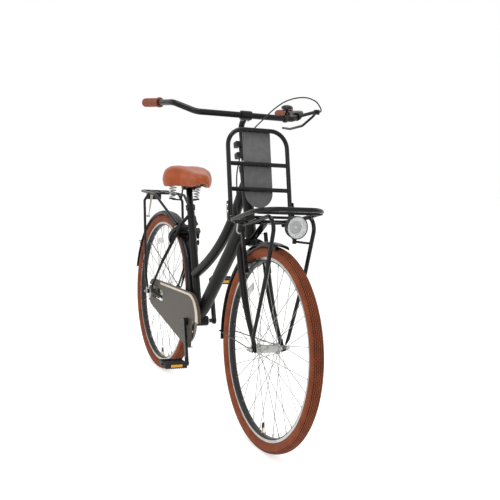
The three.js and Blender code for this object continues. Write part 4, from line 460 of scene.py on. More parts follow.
# Brake cable: a black outer cable in one loop from the lever's adjuster over the carrier to the fork.
# It runs through the clip on the stem and ends in the bent metal guide at the brake arms.
black_plastic = make_finish(
    "moulded black plastic", ((0.008, 0.008, 0.008), (0.016, 0.016, 0.016)), (0.38, 0.55),
    patches=40, grain=900, bump=0.12, specular=0.3,
)


def smoothed(points, steps=6):
    """A smooth path through all the points."""
    points = [Vector(point) for point in points]
    spread = [points[0] * 2 - points[1]] + points + [points[-1] * 2 - points[-2]]
    path = []
    for a, b, c, d in zip(spread, spread[1:], spread[2:], spread[3:]):
        for k in range(steps):
            t = k / steps
            bend = (2 * a - 5 * b + 4 * c - d) * t ** 2
            path.append(0.5 * (2 * b + (c - a) * t + bend + (3 * b - a - 3 * c + d) * t ** 3))
    return path + [points[-1]]


bm = bmesh.new()
cable_route = [
    (274.7, 281.2, 1186), (280.3, 280.6, 1186), (288.5, 281, 1190), (296.5, 272, 1202), (290.5, 256, 1222),
    (272.5, 231, 1234), (259.5, 200, 1233), (254.5, 168, 1224), (255.5, 134, 1208), (259.5, 91, 1176),
    (267.5, 52, 1140), (276.5, 14, 1104), (278.5, -14, 1056), (273.5, -30, 1005), (272.5, -37, 965),
    (283.5, -44, 930), (300.5, -48, 885), (318.5, -51, 842), (337.5, -55.5, 805), (352.4, -58.9, 775.3),
]
add_tube(bm, smoothed(cable_route), 2.5, 12)
new_piece("cable_loop", bm, "steering", "black_plastic", [black_plastic], "brake_cable")

# Front carrier: a flat tray of round steel tube with three bars, on two bent struts that end at the front
# axle. A flat strip ties it to the fork's crown, and short stubs with two bolts each take the back rest.
tray_half, tray_length = 125, 275
rest_line = -256
carrier = Matrix.Translation((669.5, 0, 850)) @ Matrix.Rotation(math.radians(-15), 4, "Y")


def carried(points):
    """Points given along and up from the tray's front, in the bike's own axes."""
    return [carrier @ Vector(point) for point in points]


def looped(points, radius):
    """A closed path through the corners, each with an arc of that radius."""
    middle = (Vector(points[0]) + Vector(points[-1])) / 2
    return round_corners([middle, *points, middle], radius)[:-1]


def add_eye(bm, spot):
    """Adds the flat eye that takes an axle, at the end of a strut, leg or stay."""
    add_sleeve(bm, 5, 11, -2, 2, facing(spot, across), 28)


bm = bmesh.new()
tray = [
    (-tray_length, -tray_half, 0), (-tray_length, tray_half, 0), (0, tray_half, 0), (0, -tray_half, 0),
]
add_tube(bm, looped(carried(tray), 67), 8, 20, closed=True)
for x, half in ((-40.2, 122), (-130.1, tray_half), (-215.1, tray_half)):
    tray_bar = [(x, -half, -6), (x, -half + 8, -6), (x, half - 8, -6), (x, half, -6)]
    add_tube(bm, carried(tray_bar), [4, 5, 5, 4], 14)
strip = [Vector(p) for p in ((375.4, 0, 696.3), (366.8, 0, 718.7), (445.3, 0, 778.5), (479.2, 0, 787.6))]
strip_path = [(p.x, p.z) for p in round_corners(strip, 9)]
strip_under = [(x + 1.4, z - 3.6) for x, z in reversed(strip_path)]
add_plate(bm, strip_path + strip_under, -14, 14, stand_up)
strut_corners = [(444.7, 75, 773.2), (681.4, 75, 836.6), (636.5, 72, 640), (557.5, 68, 392)]
stub_outline = [(-9, 0), (9, 0), (9, 64), (5, 70), (-5, 70), (-9, 64)]
stub_bolt = [(0, -1), (5, -1), (5, 1.6), (3.8, 3.4), (2.4, 3.6), (2.2, 2), (0, 2)]
for side in sides:
    strut = round_corners(on_side(strut_corners, side), 40)
    strut.append(Vector((550, side * 63.4, 369)))
    add_tube(bm, strut, [7] * (len(strut) - 2) + [6.4, 3], 16)
    add_eye(bm, axles["front"] + across * side * 61.9)
    add_plate(bm, stub_outline, -2, 2, carrier @ Matrix.Translation((rest_line, side * 126.3, 0)) @ stand_up)
    for height in (32, 54):
        spot = carrier @ Vector((rest_line, side * 128.3, height))
        add_turned(bm, stub_bolt, facing(spot, across * side), 18, 1)
lamp_arm = [(658.9, 73.5, 738.3), (650, 58, 738.6), (640, 42, 739.4), (627.5, 30, 739.7)]
lamp_foot = [(0, -8), (6.4, -8), (7, -7), (7, 7.2), (6, 8.2), (0, 8.4)]
add_tube(bm, smoothed(lamp_arm, 4), 4, 12)
add_turned(bm, lamp_foot, facing((620.5, 30, 739.5), upward), 20)
new_piece("carrier_tray", bm, "steering", "frame_paint", [gloss_black, bright_steel], "front_carrier")

# Back rest: a loop of the same steel tube as the tray, in gloss black, with two welded cross bars.
# Its feet are bolted to the stubs at the back of the tray.
rest_half, rest_top = 116, 328
rest_bars = (113, 204)
bm = bmesh.new()
rest_corners = [
    (rest_line, rest_half, 18), (rest_line, rest_half, rest_top),
    (rest_line, -rest_half, rest_top), (rest_line, -rest_half, 18),
]
add_tube(bm, round_corners(carried(rest_corners), 62), 8, 20)
for height in rest_bars:
    rest_bar = [(rest_line, y, height) for y in (-rest_half, 0, rest_half)]
    add_tube(bm, carried(rest_bar), 7.7, 18)
new_piece("carrier_back_rest", bm, "steering", "frame_paint", [gloss_black], "back_rest")

# Plate: a sheet of grey rubbery plastic with a round lower end, cut to fit inside the back rest.
# Four pan-headed screws hold it behind the two cross bars.
plate_grey = make_finish(
    "grey rubber plate", ((0.115, 0.115, 0.117), (0.15, 0.15, 0.152)), (0.55, 0.7),
    patches=50, grain=1200, bump=0.2, specular=0.3,
)
plate_half, plate_corner = 54.5, 6
bm = bmesh.new()
outline = [(plate_corner - plate_half, rest_top), (-plate_half, rest_top - plate_corner)]
for angle in range(0, 181, 9):
    share = math.radians(angle)
    outline.append((-plate_half * math.cos(share), 104.5 - plate_half * math.sin(share)))
outline += [(plate_half, rest_top - plate_corner), (plate_half - plate_corner, rest_top)]
face_back = Matrix(((0, 0, 1, 0), (1, 0, 0, 0), (0, 1, 0, 0), (0, 0, 0, 1)))
add_plate(bm, outline, -1.2, 1.2, carrier @ Matrix.Translation((-266.2, 0, 0)) @ face_back)
plate_screw = [(0, 0), (5, 0), (4.6, 1.6), (3, 2.2), (0, 2.3)]
for height in rest_bars:
    for side in sides:
        spot = carrier @ Vector((-267.2, side * 32, height))
        add_turned(bm, plate_screw, facing(spot, carrier.to_3x3() @ -forward), 16, 1)
new_piece("grey_plate", bm, "steering", "plate_plastic", [plate_grey, bright_steel], "name_plate")

# Headlight: a black plastic drum that stands on its arm under the tray, with a stepped mirror inside.
# A clear moulded lens is pressed into its front.
mirror = make_finish(
    "headlight mirror", ((0.86, 0.86, 0.87), (0.95, 0.95, 0.95)), (0.25, 0.38), 0.3,
    patches=60, grain=600, bump=0.02,
)
clear_lens = make_finish(
    "clear lens", ((0.93, 0.95, 0.96), (0.98, 0.98, 0.99)), (0.02, 0.05), patches=50, cells=260, bump=0.35)
feed(clear_lens.node_tree.nodes["Principled BSDF"], {"Alpha": 0.3})
lamp_place = facing((620.5, 30, 787), forward)
drum = [
    (0, -30), (10, -29.4), (22, -26), (31, -18), (36.5, -8), (38.4, 2),
    (39, 12), (39, 16), (37.2, 16), (36.8, 9), (30, 2), (0, 2),
]
bowl = [
    (36.7, 9), (33, 6.4), (32.6, 7.2), (27, 3.4), (26.6, 4.2), (20, 0.6), (19.6, 1.4),
    (12, -1.6), (6, -2.6), (5, 3), (3, 5), (0, 5.4), (0, -6), (36.7, -6), (36.7, 9),
]
bm = bmesh.new()
add_turned(bm, drum, lamp_place, 48)
add_turned(bm, bowl, lamp_place, 48, 1)
add_turned(bm, [(0, -4), (3, -4), (3, 3), (0, 3)], facing((606, 30, 748.8), upward), 12)
new_piece("headlight_drum", bm, "steering", "black_plastic", [black_plastic, mirror], "lamp_housing")
lens = [
    (36.4, 13), (36.4, 16.4), (30, 18.4), (20, 19.4), (8, 19.9), (0, 20),
    (0, 18.2), (8, 18.1), (20, 17.6), (30, 16.6), (34.8, 14.8), (34.8, 13), (36.4, 13),
]
bm = bmesh.new()
add_turned(bm, lens, lamp_place, 48)
new_piece("headlight_glass", bm, "steering", "lamp_glass", [clear_lens], "lamp_lens")

# Fenders: gloss black sheet steel with a rounded crown and turned-down sides, rolled round each wheel.
# A round wire stay runs from each axle up over the fender's back.
fender_black = make_finish(
    "gloss black fender", ((0.004, 0.004, 0.004), (0.01, 0.01, 0.01)), (0.12, 0.22),
    patches=7, grain=1300, bump=0.03, specular=0.22,
)
wheel_turn = Matrix(((1, 0, 0, 0), (0, 0, -1, 0), (0, 1, 0, 0), (0, 0, 0, 1)))
fender_radius = 367


def rolled(section, steps, first=0, last=360):
    """A mesh of a closed section of (side, radius) points, rolled round the wheel's own axis."""
    part = bmesh.new()
    start = Matrix.Rotation(math.radians(first), 4, "Z")
    corners = [part.verts.new(start @ Vector((radius, 0, y))) for y, radius in section]
    edges = [part.edges.new(pair) for pair in zip(corners, corners[1:] + corners[:1])]
    bmesh.ops.spin(
        part, geom=corners + edges, axis=(0, 0, 1), angle=math.radians(last - first), steps=steps,
        use_merge=last - first == 360,
    )
    return part


fender_half = [
    (0, 3), (9, 2.5), (17, 0.9), (23, -2.2), (26.2, -7), (27, -14),
    (25.4, -14), (24.6, -7.6), (21.8, -3.8), (16.2, -0.9), (8.6, 0.7), (0, 1.2),
]
fender_section = fender_half + [(-y, rise) for y, rise in fender_half[-2:0:-1]]
for prefix, first, last, stay_angle, eye, body in (
    ("rear", -9, 171, 149, 75.9, "main_frame"),
    ("front", 82, 188, 183, 61.9, "steering"),
):
    bm = bmesh.new()
    section = [(y, fender_radius + rise) for y, rise in fender_section]
    part = rolled(section, (last - first) // 3, first, last)
    bmesh.ops.holes_fill(part, edges=[edge for edge in part.edges if edge.is_boundary], sides=0)
    join_in(bm, part, Matrix.Translation(axles[prefix]) @ wheel_turn)
    new_piece(f"{prefix}_fender_sheet", bm, body, "fender_paint", [fender_black], f"{prefix}_fender")
    bm = bmesh.new()
    wire = mirrored([(9.2, eye, 0), (44, eye, 0), (352, 29.3, 0), (372.3, 29.3, 0)])
    swing = Matrix.Translation(axles[prefix]) @ Matrix.Rotation(math.radians(-stay_angle), 4, "Y")
    add_tube(bm, round_corners([swing @ Vector(point) for point in wire], 4, 20), 2, 10)
    for side in sides:
        add_eye(bm, axles[prefix] + across * side * eye)
    new_piece(f"{prefix}_stay_wire", bm, body, "frame_paint", [gloss_black], f"{prefix}_fender_stay")

# Wheels: brown rubber tyres with staggered tread blocks, their grooves a darker painted shade, on silver
# aluminium rims that are black inside.
# 36 thin steel spokes, each with its nipple, cross from the steel hub's flanges.
tyre_brown = make_finish(
    "brown tyre rubber", ((0.19, 0.048, 0.019), (0.27, 0.074, 0.031)), (0.6, 0.8),
    patches=26, grain=500, bump=0.35, specular=0.15,
)
# The grooves' much darker brown is painted shade in the tread's recesses, not the rubber's own colour.
groove_painted_shade = make_finish(
    "tyre groove painted shade", ((0.04, 0.011, 0.005), (0.06, 0.017, 0.008)), (0.7, 0.85),
    patches=40, grain=500, bump=0.3, specular=0.15,
)
rim_silver = make_finish(
    "brushed rim", ((0.46, 0.45, 0.44), (0.62, 0.61, 0.59)), (0.2, 0.34), 1.0,
    patches=30, grain=1200, bump=0.08,
)
rim_black = make_finish(
    "black rim bed", ((0.012, 0.012, 0.012), (0.025, 0.025, 0.025)), (0.3, 0.45),
    patches=30, grain=1200, bump=0.06, specular=0.35,
)
spoke_steel = make_finish(
    "drawn spoke steel", ((0.2, 0.2, 0.195), (0.34, 0.34, 0.33)), (0.22, 0.36), 1.0,
    patches=70, grain=1200, bump=0.05,
)
tread_steps, tread_edge, tread_row = 400, 347.5, 5.6
groove_width, groove_depth = 0.9, 1.7
rim_steps, rim_bed, rim_well, well_half = 144, 307, 316, 10
tyre_half = [
    (3.1, 353.9), (9.3, 353.3), (14.6, 351), (19.2, 346.3), (21.6, 341.6),
    (22.6, 337), (22, 330), (18.6, 323.6), (14, 319.6), (12.4, 317.4),
]
rim_half = [
    (6.5, 302), (9.5, 302.9), (12, 306), (12.5, 308),
    (12.2, 309.5), (12.5, 311), (12.5, 317), (11.3, 317.2),
]
spoke_count, spoke_reach, spoke_cross = 36, 301, math.radians(56)
spoke_shares, spoke_radii = (0, 0.955, 0.956, 0.98, 1), [1.05, 1.05, 1.9, 2.0, 2.0]


def whole_section(half):
    """The section of a tyre or rim from its left half, right side first."""
    return [(-y, radius) for y, radius in reversed(half)] + half


def rounded_middle(face):
    """The middle of a face to a hundredth of a millimetre, by which it is found again in a copy."""
    return tuple(round(n, 2) for n in face.calc_center_median())


def add_tread(part):
    """Joins every second face of the tread to its neighbour, row by row, and gives the grooves' middles."""
    bricked = []
    for edge in part.edges:
        middle = (edge.verts[0].co + edge.verts[1].co) / 2
        if middle.to_2d().length > tread_edge and abs(edge.verts[0].co.z - edge.verts[1].co.z) > 1:
            row = round(middle.z / tread_row)
            step = round(math.atan2(middle.y, middle.x) / math.tau * tread_steps)
            if (step + row) % 2:
                bricked.append(edge)
    bmesh.ops.dissolve_edges(part, edges=bricked, use_verts=False)
    blocks = [face for face in part.faces if face.calc_center_median().to_2d().length > tread_edge]
    grooves = bmesh.ops.inset_individual(part, faces=blocks, thickness=groove_width, depth=groove_depth)
    return {rounded_middle(face) for face in grooves["faces"]}


for prefix, width, hub, flange, end, turn in (
    ("rear", 62, 27, 34, 58.4, 4.5),
    ("front", 74, 14, 21, 49.7, 0),
):
    body = f"{prefix}_wheel"
    wheel = Matrix.Translation(axles[prefix]) @ wheel_turn
    bm = bmesh.new()
    part = rolled(whole_section(tyre_half), tread_steps)
    bmesh.ops.recalc_face_normals(part, faces=part.faces)
    groove_shade_middles = add_tread(part)
    join_in(bm, part)
    # The grooves' walls take that darker brown: painted shade.
    for face in bm.faces:
        if rounded_middle(face) in groove_shade_middles:
            face.material_index = 1
    bmesh.ops.transform(bm, matrix=wheel, verts=bm.verts)
    tyre_name = f"{prefix}_treaded_tyre"
    new_piece(tyre_name, bm, body, "tyre_rubber", [tyre_brown, groove_painted_shade], f"{prefix}_tyre", sharp=30)
    bm = bmesh.new()
    join_in(bm, rolled(whole_section(rim_half), rim_steps), wheel)
    for face in bm.faces:
        middle = face.calc_center_median() - axles[prefix]
        radius = Vector((middle.x, middle.z)).length
        if radius < rim_bed or (radius < rim_well and abs(middle.y) < well_half):
            face.material_index = 1
    new_piece(f"{prefix}_rim_ring", bm, body, "rim_metal", [rim_silver, rim_black], f"{prefix}_rim")
    bm = bmesh.new()
    flange_out = width / 2
    hub_half = [
        (end - 0.8, 9), (end, 10), (flange_out + 4, 10), (flange_out, hub * 0.8), (flange_out, flange - 1),
        (flange_out - 1.6, flange), (flange_out - 3.2, flange - 1), (flange_out - 3.2, hub + 1),
        (flange_out - 6, hub), (0, hub),
    ]
    outside = [(r, y) for y, r in hub_half] + [(r, -y) for y, r in reversed(hub_half[:-1])]
    bore = [(5, -end + 0.8), (5, end - 0.8)]
    add_turned(bm, bore + outside + bore[:1], facing(axles[prefix], across), 40)
    for i in range(spoke_count):
        side = 1 if i % 2 == 0 else -1
        way = 1 if i % 4 < 2 else -1
        tip_angle = math.tau * (i + 0.5) / spoke_count + math.radians(turn)
        foot_angle = tip_angle + way * spoke_cross
        hole = flange - 2.6
        foot_side = side * (flange_out - 1.6 + way * 1.9)
        foot = axles[prefix] + Vector((hole * math.cos(foot_angle), foot_side, hole * math.sin(foot_angle)))
        tip = axles[prefix] + Vector(
            (spoke_reach * math.cos(tip_angle), side * 1.1, spoke_reach * math.sin(tip_angle)))
        add_tube(bm, [foot.lerp(tip, share) for share in spoke_shares], spoke_radii, 8, material=1)
        head = [(0, -1.1), (1.9, -0.8), (2.1, 0), (1.9, 0.8), (0, 1.1)]
        add_turned(bm, head, facing(foot + across * side * way, across), 8)
    new_piece(f"{prefix}_laced_hub", bm, body, "wheel_metal", [bright_steel, spoke_steel], f"{prefix}_hub")

# Valves: a threaded brass stem with its lock nut on the rim, under a black plastic dust cap.
# Each is screwed down on the rim's inner face and points at the axle.
valve_brass = make_finish(
    "valve brass", ((0.5, 0.36, 0.16), (0.66, 0.5, 0.25)), (0.25, 0.4), 1.0,
    patches=90, grain=1200, bump=0.06,
)
valve_seat = 300.4
thread = []
for k in range(7):
    thread += [(3.1, 5.4 + 2 * k), (2.6, 6.4 + 2 * k)]
valve_stem = [(0, 0), (4.2, 0), (4.2, 3.6), (3.4, 4.6)] + thread + [(0, 19)]
dust_cap = [(0, 18), (3.5, 18), (4.2, 19), (4.2, 31), (3.2, 35), (2.2, 37.6), (0, 37.8)]
for prefix in ("rear", "front"):
    bm = bmesh.new()
    low, high = (Vector(corner) * 1000 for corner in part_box(f"{prefix}_valve"))
    inward = (axles[prefix] - (low + high) / 2).normalized()
    place = facing(axles[prefix] - inward * valve_seat, inward)
    add_turned(bm, valve_stem, place, 20)
    add_turned(bm, dust_cap, place, 12, 1)
    finishes = [valve_brass, black_plastic]
    new_piece(
        f"{prefix}_capped_valve", bm, f"{prefix}_wheel", "bright_parts", finishes, f"{prefix}_valve")

# Spoke reflectors: flat pearl-white plastic prisms, one to a wheel, each in a thin moulded frame.
# They are clipped outside the right-hand spokes and lean in with them.
pearl = make_finish(
    "pearl prisms", ((0.62, 0.62, 0.6), (0.82, 0.82, 0.8)), (0.12, 0.25),
    patches=90, cells=420, bump=0.8, coat=0.5,
)
prism_head, prism_foot = 302, 218


def add_block(bm, low, high, place=Matrix(), material=0, edge=1.0, segments=2):
    """Adds a block between two corners, with its edges rounded."""
    part = bmesh.new()
    size = Vector(high) - Vector(low)
    centre = (Vector(high) + Vector(low)) / 2
    shape = Matrix.Translation(centre) @ Matrix.Diagonal((*size, 1))
    bmesh.ops.create_cube(part, size=1, matrix=shape)
    bmesh.ops.bevel(
        part, geom=part.edges[:], offset=edge, segments=segments, affect="EDGES", profile=0.5, material=-1)
    join_in(bm, part, place, material)


for prefix, angle, width, flange in (("rear", 104, 62, 34), ("front", 129, 74, 21)):
    bm = bmesh.new()
    slope = math.atan2(width / 2, prism_head - flange)
    seat = (prism_head - prism_foot) * math.tan(slope) + 1.5
    lean = Matrix.Rotation(-slope, 4, "X")
    swing = Matrix.Rotation(math.radians(90 - angle), 4, "Y")
    place = Matrix.Translation(axles[prefix]) @ swing @ Matrix.Translation((0, -seat, prism_foot)) @ lean
    add_block(bm, (-31, -4.4, 0), (31, -0.6, 28), place, edge=1.4)
    add_block(bm, (-28, -5, 2.6), (28, -3.8, 25.4), place, edge=0.5)
    new_piece(
        f"{prefix}_spoke_prism", bm, f"{prefix}_wheel", "reflectors", [pearl], f"{prefix}_wheel_reflector")

# Rear carrier: two steel rails joined at the back, with cross bars and long bars between them.
# Bent legs stand on the rear axle, and a plate at the back holds the light.
rack_height, rack_half = 798, 70
bm = bmesh.new()
half_rail = [(-305.2, 45.6, 691.5), (-545.5, rack_half, rack_height), (-759.5, rack_half, rack_height)]
add_tube(bm, round_corners(mirrored(half_rail), 30), 6, 18)
for x in (-609.7, -678.2):
    add_tube(bm, [(x, y, rack_height) for y in (-69, 0, 69)], 4.5, 14)
leg_corners = [
    (-623.5, rack_half, rack_height), (-623.5, 92, 764), (-545.5, 92, 423.6), (-545.5, 79.9, 369.6),
]
for side in sides:
    add_tube(bm, [(x, side * 24, rack_height) for x in (-757, -683, -609.7)], 4.5, 14)
    leg = round_corners(on_side(leg_corners, side), 12)
    add_tube(bm, leg, [6] * (len(leg) - 1) + [3], 16)
    add_eye(bm, axles["rear"] + across * side * 79.9)
add_block(bm, (-761, -30, 758), (-758, 30, rack_height), edge=1.2)
new_piece("rear_rack_tubes", bm, "main_frame", "frame_paint", [gloss_black], "rear_carrier")

# Rear light: a red plastic lens, moulded with fine prisms, in a black plastic tray.
# Its tray is screwed to the plate at the back of the carrier.
red_lens = make_finish(
    "red lens", ((0.38, 0.008, 0.006), (0.52, 0.014, 0.01)), (0.08, 0.16),
    patches=60, cells=300, bump=0.6, coat=0.7,
)
bm = bmesh.new()
add_block(bm, (-770, -36, 758), (-761.8, 36, 791.7), material=1, edge=2)
add_block(bm, (-787.8, -33.5, 760.6), (-769, 33.5, 789), edge=5, segments=4)
new_piece("rear_light_lens", bm, "main_frame", "rear_lens", [red_lens, black_plastic], "rear_light")

# Pedals: black moulded cages with ribbed treads front and back, round a barrel that turns on the spindle.
# An amber reflector is set into the outer face of each tread.
orange_lens = make_finish(
    "orange prisms", ((0.74, 0.33, 0.01), (0.86, 0.46, 0.02)), (0.12, 0.24),
    patches=80, cells=420, bump=0.7, coat=0.5,
)
pedal_barrel = [(6, -47), (9, -46), (10, -38), (10, 38), (9, 46), (6, 47.5), (0, 47.5), (0, -47), (6, -47)]
tread_line = 33
for name, side, x, z in (("pedal_right", -1, -42.4, 152.25), ("pedal_left", 1, -158.6, 471.75)):
    bm = bmesh.new()
    place = Matrix.Translation((x, side * 124, z))
    add_turned(bm, pedal_barrel, place @ stand_up, 24)
    for edge in sides:
        tread, prism = edge * tread_line, edge * 38.3
        add_block(bm, (-34, edge * 44 - 3, -9), (34, edge * 44 + 3, 9), place, edge=2.2)
        add_block(bm, (tread - 5, -46, -11), (tread + 5, 46, 11), place, edge=2.4)
        add_block(bm, (prism - 0.7, -24, -5.5), (prism + 0.7, 24, 5.5), place, 1, edge=0.5)
        for k in range(10):
            y = -40.5 + 9 * k
            add_block(bm, (tread - 4.6, y - 2.6, -12), (tread + 4.6, y + 2.6, 12), place, edge=1)
    new_piece(f"caged_{name}", bm, name, "black_plastic", [black_plastic, orange_lens], name)

# Seat post and saddle frame: a black steel post, a clamp across it, and two rails of thick wire.
# The rails start at the springs' cups, pass the clamp and end below the nose of the saddle.
bm = bmesh.new()
post_top = Vector((-308.4, 0, 853.5))
post_foot = seat_top - steer_up * 190
post_length = (post_top - post_foot).length
post = [
    (0, 0), (12.8, 0), (13.5, 1), (13.5, post_length - 14), (11.4, post_length - 8),
    (11.4, post_length), (0, post_length),
]
add_turned(bm, post, facing(post_foot, steer_up), 32)
new_piece("seat_pillar", bm, "seat", "frame_paint", [gloss_black], "seat_post")
clamp_place = Vector((-308.4, 0, 850))
rail = [(-355.5, 55, 792.5), (-333.5, 22, 792.5), (-321.4, 22, 850), (-282.4, 22, 850), (-179, 10, 866.9)]
spring_cup = [(0, -3), (13.5, -3), (15, -1), (15, 2), (13.6, 2), (13, 0), (0, 0)]
clamp_cheek = [(0, 22), (11, 22), (13, 24), (13, 26), (10, 28), (0, 28.4)]
clamp_nut = [(0, 28), (6.4, 28), (6.4, 33), (0, 33.5)]
bm = bmesh.new()
for side in sides:
    add_tube(bm, round_corners(on_side(rail, side), 7, 12), 3.5, 12)
    add_turned(bm, spring_cup, facing((-355.5, side * 55, 795.5), upward), 28)
    add_turned(bm, clamp_cheek, facing(clamp_place, across * side), 24)
    add_turned(bm, clamp_nut, facing(clamp_place, across * side), 6, 1)
add_turned(bm, [(0, -22), (12.2, -22), (12.2, 22), (0, 22)], facing(clamp_place, across), 24)
new_piece("saddle_rails", bm, "seat", "frame_paint", [gloss_black, bright_steel], "saddle_frame")

# Saddle springs: two coils of thick bright wire, wider at the top, under the back of the saddle.
# Each stands in a cup on the saddle frame and carries the base shell.
coil_steps, coil_turns = 192, 6
for side, node in ((1, "saddle_spring_left"), (-1, "saddle_spring_right")):
    bm = bmesh.new()
    coil = []
    for k in range(coil_steps + 1):
        share = k / coil_steps
        angle = math.tau * coil_turns * share
        radius = 10.6 + 8 * share
        beside = side * (55 + radius * math.sin(angle))
        coil.append(Vector((-355.5 + radius * math.cos(angle), beside, 799 + 69 * share)))
    add_tube(bm, coil, 2.5, 10)
    new_piece(f"coiled_{node}", bm, "seat", "bright_parts", [bright_steel], node)

# Saddle: a wide padded cover of smooth tan leather over foam, glossy from use, with a sewn seam low
# round its side. It sits on a black base shell above the springs.
saddle_leather = make_finish(
    "tan saddle leather", ((0.31, 0.064, 0.016), (0.41, 0.092, 0.025)), (0.3, 0.4),
    patches=22, cells=620, bump=0.2, coat=0.06, specular=0.22,
)
saddle_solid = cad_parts["saddle"]
bm = bmesh.new()
bm.from_mesh(saddle_solid.data)
bmesh.ops.transform(bm, matrix=Matrix.Scale(1000, 4) @ saddle_solid.matrix_world, verts=bm.verts)
bmesh.ops.remove_doubles(bm, verts=bm.verts, dist=0.01)
bmesh.ops.recalc_face_normals(bm, faces=bm.faces)
shell_mesh = bpy.data.meshes.new("shell")
bm.to_mesh(shell_mesh)
bm.free()
shell = bpy.data.objects.new("shell", shell_mesh)
show(shell)
remesh = shell.modifiers.new("even faces", "REMESH")
remesh.mode = "VOXEL"
remesh.voxel_size = 3.5
relax = shell.modifiers.new("soft shape", "SMOOTH")
relax.factor = 0.5
relax.iterations = 28
relaxed = bpy.data.meshes.new_from_object(shell.evaluated_get(bpy.context.evaluated_depsgraph_get()))
bm = bmesh.new()
bm.from_mesh(relaxed)
bpy.data.objects.remove(shell)


def seam_round(cover, place, normal):
    """The closed line where a plane meets the cover, as every second point of the cut."""
    below = cover.copy()
    everything = below.verts[:] + below.edges[:] + below.faces[:]
    cut = bmesh.ops.bisect_plane(below, geom=everything, plane_co=place, plane_no=normal, clear_outer=True)
    rim = {item: None for item in cut["geom_cut"] if isinstance(item, bmesh.types.BMEdge)}
    first = next(iter(rim))
    walk = [first.verts[0], first.verts[1]]
    while True:
        tip, before = walk[-1], walk[-2]
        onward = [edge for edge in tip.link_edges if edge in rim and edge.other_vert(tip) is not before]
        if not onward or onward[0].other_vert(tip) is walk[0]:
            break
        walk.append(onward[0].other_vert(tip))
    seam = [vert.co.copy() for vert in walk[::2]]
    below.free()
    return seam


seam = seam_round(bm, (-271, 0, 884), Vector((-0.05, 0, 1)).normalized())
add_tube(bm, seam, 0.9, 8, closed=True)
saddle_cover = new_piece("padded_saddle", bm, "seat", "saddle_cover", [saddle_leather], "saddle", sharp=60)

# Keys: one stands in the ring lock and the spare hangs from it on a short link.
# Both have a black plastic head moulded over a flat blade of nickel silver.
key_brass = make_finish(
    "key metal", ((0.42, 0.33, 0.17), (0.6, 0.5, 0.3)), (0.25, 0.4), 1.0, patches=90, grain=1200, bump=0.08)
head_half, key_line, spare_line = 11, 60, -314.7
bm = bmesh.new()
for x, z in ((-319.7, 637.6), (spare_line, 610.6)):
    square = ((-1, -1), (-1, 1), (1, 1), (1, -1))
    head = looped([(x + head_half * u, z + head_half * v, 0) for u, v in square], 7)
    add_plate(bm, [(p.x, p.y) for p in head], -key_line - 2, -key_line + 2, stand_up, edge=1)
key_shank = [(-340.7, key_line, 651.6), (-330, key_line, 644.4), (-319.7, key_line, 637.6)]
add_tube(bm, key_shank, 2.4, 12, material=1)
add_block(bm, (-317.3, 59.1, 565.8), (-312.1, 60.9, 603), material=1, edge=0.4)
for z in (571, 577.5, 585):
    add_block(bm, (-313, 59.3, z), (-311.4, 60.7, z + 2.4), material=1, edge=0.3)
add_tube(bm, [(spare_line, key_line, z) for z in (616.6, 627, 637.6)], 1, 8, material=1)
new_piece("two_keys", bm, "lock_key", "bright_parts", [black_plastic, key_brass], "lock_key")

# Carried-over CAD pieces: the chain case and its trim, the chain drive, cranks, brake parts, lock and axles.
# Each keeps its CAD shape and gets its own finish, smooth faces and slightly rounded sharp edges.
sharp_angle = math.radians(42)
smooth_faces = bpy.data.node_groups.new("smooth faces", "GeometryNodeTree")
smooth_faces.interface.new_socket("Geometry", in_out="INPUT", socket_type="NodeSocketGeometry")
smooth_faces.interface.new_socket("Geometry", in_out="OUTPUT", socket_type="NodeSocketGeometry")
add_node = smooth_faces.nodes.new
tree_in = add_node("NodeGroupInput")
tree_out = add_node("NodeGroupOutput")
merged = add_node("GeometryNodeMergeByDistance")
feed(merged, {"Distance": 0.00001})
angle_node = add_node("GeometryNodeInputMeshEdgeAngle")
steep = add_node("FunctionNodeCompare")
steep.data_type = "FLOAT"
steep.operation = "GREATER_THAN"
steep.inputs[1].default_value = sharp_angle
sharp_edges = add_node("GeometryNodeSetShadeSmooth")
sharp_edges.domain = "EDGE"
feed(sharp_edges, {"Shade Smooth": False})
soft_faces = add_node("GeometryNodeSetShadeSmooth")
soft_faces.domain = "FACE"
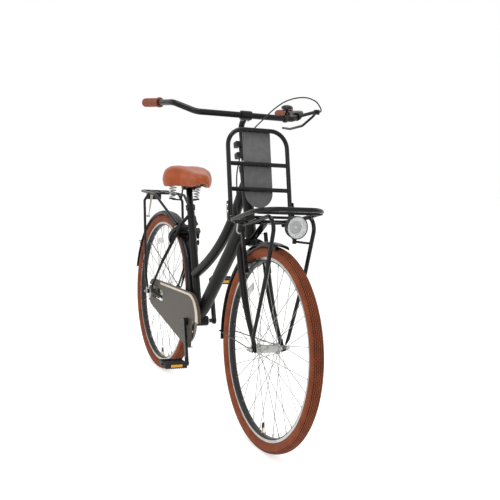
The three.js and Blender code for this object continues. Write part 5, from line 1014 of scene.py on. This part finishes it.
connect(
    smooth_faces,
    (tree_in.outputs[0], merged.inputs["Geometry"]),
    (merged.outputs[0], soft_faces.inputs["Geometry"]),
    (soft_faces.outputs[0], sharp_edges.inputs["Geometry"]),
    (angle_node.outputs["Unsigned Angle"], steep.inputs[0]),
    (steep.outputs[0], sharp_edges.inputs["Selection"]),
    (sharp_edges.outputs[0], tree_out.inputs[0]),
)

case_taupe = make_finish(
    "taupe chain case", ((0.07, 0.058, 0.044), (0.1, 0.083, 0.063)), (0.38, 0.5),
    patches=14, grain=900, bump=0.15, specular=0.25,
)
trim_beige = make_finish(
    "beige trim", ((0.62, 0.54, 0.42), (0.74, 0.66, 0.53)), (0.35, 0.5), patches=30, grain=900, bump=0.08)
chain_steel = make_finish(
    "oiled chain steel", ((0.16, 0.13, 0.10), (0.34, 0.31, 0.27)), (0.3, 0.5), 0.9,
    patches=150, grain=900, bump=0.2,
)
lock_plastic = make_finish(
    "lock housing", ((0.013, 0.013, 0.014), (0.03, 0.03, 0.03)), (0.3, 0.45),
    patches=45, grain=1000, bump=0.1,
)
elastic = make_finish(
    "elastic strap", ((0.40, 0.38, 0.35), (0.56, 0.54, 0.5)), (0.6, 0.75), patches=200, grain=1500, bump=0.4)
for finish, edge, names in (
    (case_taupe, 1.2, ["chain_case"]),
    (trim_beige, 0.3, ["chain_case_trim"]),
    (chain_steel, 0.2, ["chain", "chainring", "rear_sprocket"]),
    (dark_steel, 0.6, ["crank_right", "crank_left", "brake_arm_right", "brake_arm_left"]),
    (dark_steel, 0.6, ["brake_lever", "bell_lever"]),
    (bright_steel, 0.3, ["front_axle", "rear_axle", "headset_nut"]),
    (bright_steel, 0.3, ["bottom_bracket", "lock_bolt", "brake_guide"]),
    (black_plastic, 0.4, ["stem_clip", "saddle_base", "brake_lever_bracket"]),
    (gloss_black, 0.4, ["seat_clamp"]),
    (lock_plastic, 0.6, ["ring_lock"]),
    (elastic, 0.2, ["carrier_strap"]),
):
    for name in names:
        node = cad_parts[name]
        for material_slot in node.material_slots:
            material_slot.material = finish
        smoother = node.modifiers.new("smooth faces", "NODES")
        smoother.node_group = smooth_faces
        rounded = node.modifiers.new("rounded edges", "BEVEL")
        rounded.width = edge / 1000
        rounded.segments = 2
        rounded.limit_method = "ANGLE"
        rounded.angle_limit = sharp_angle
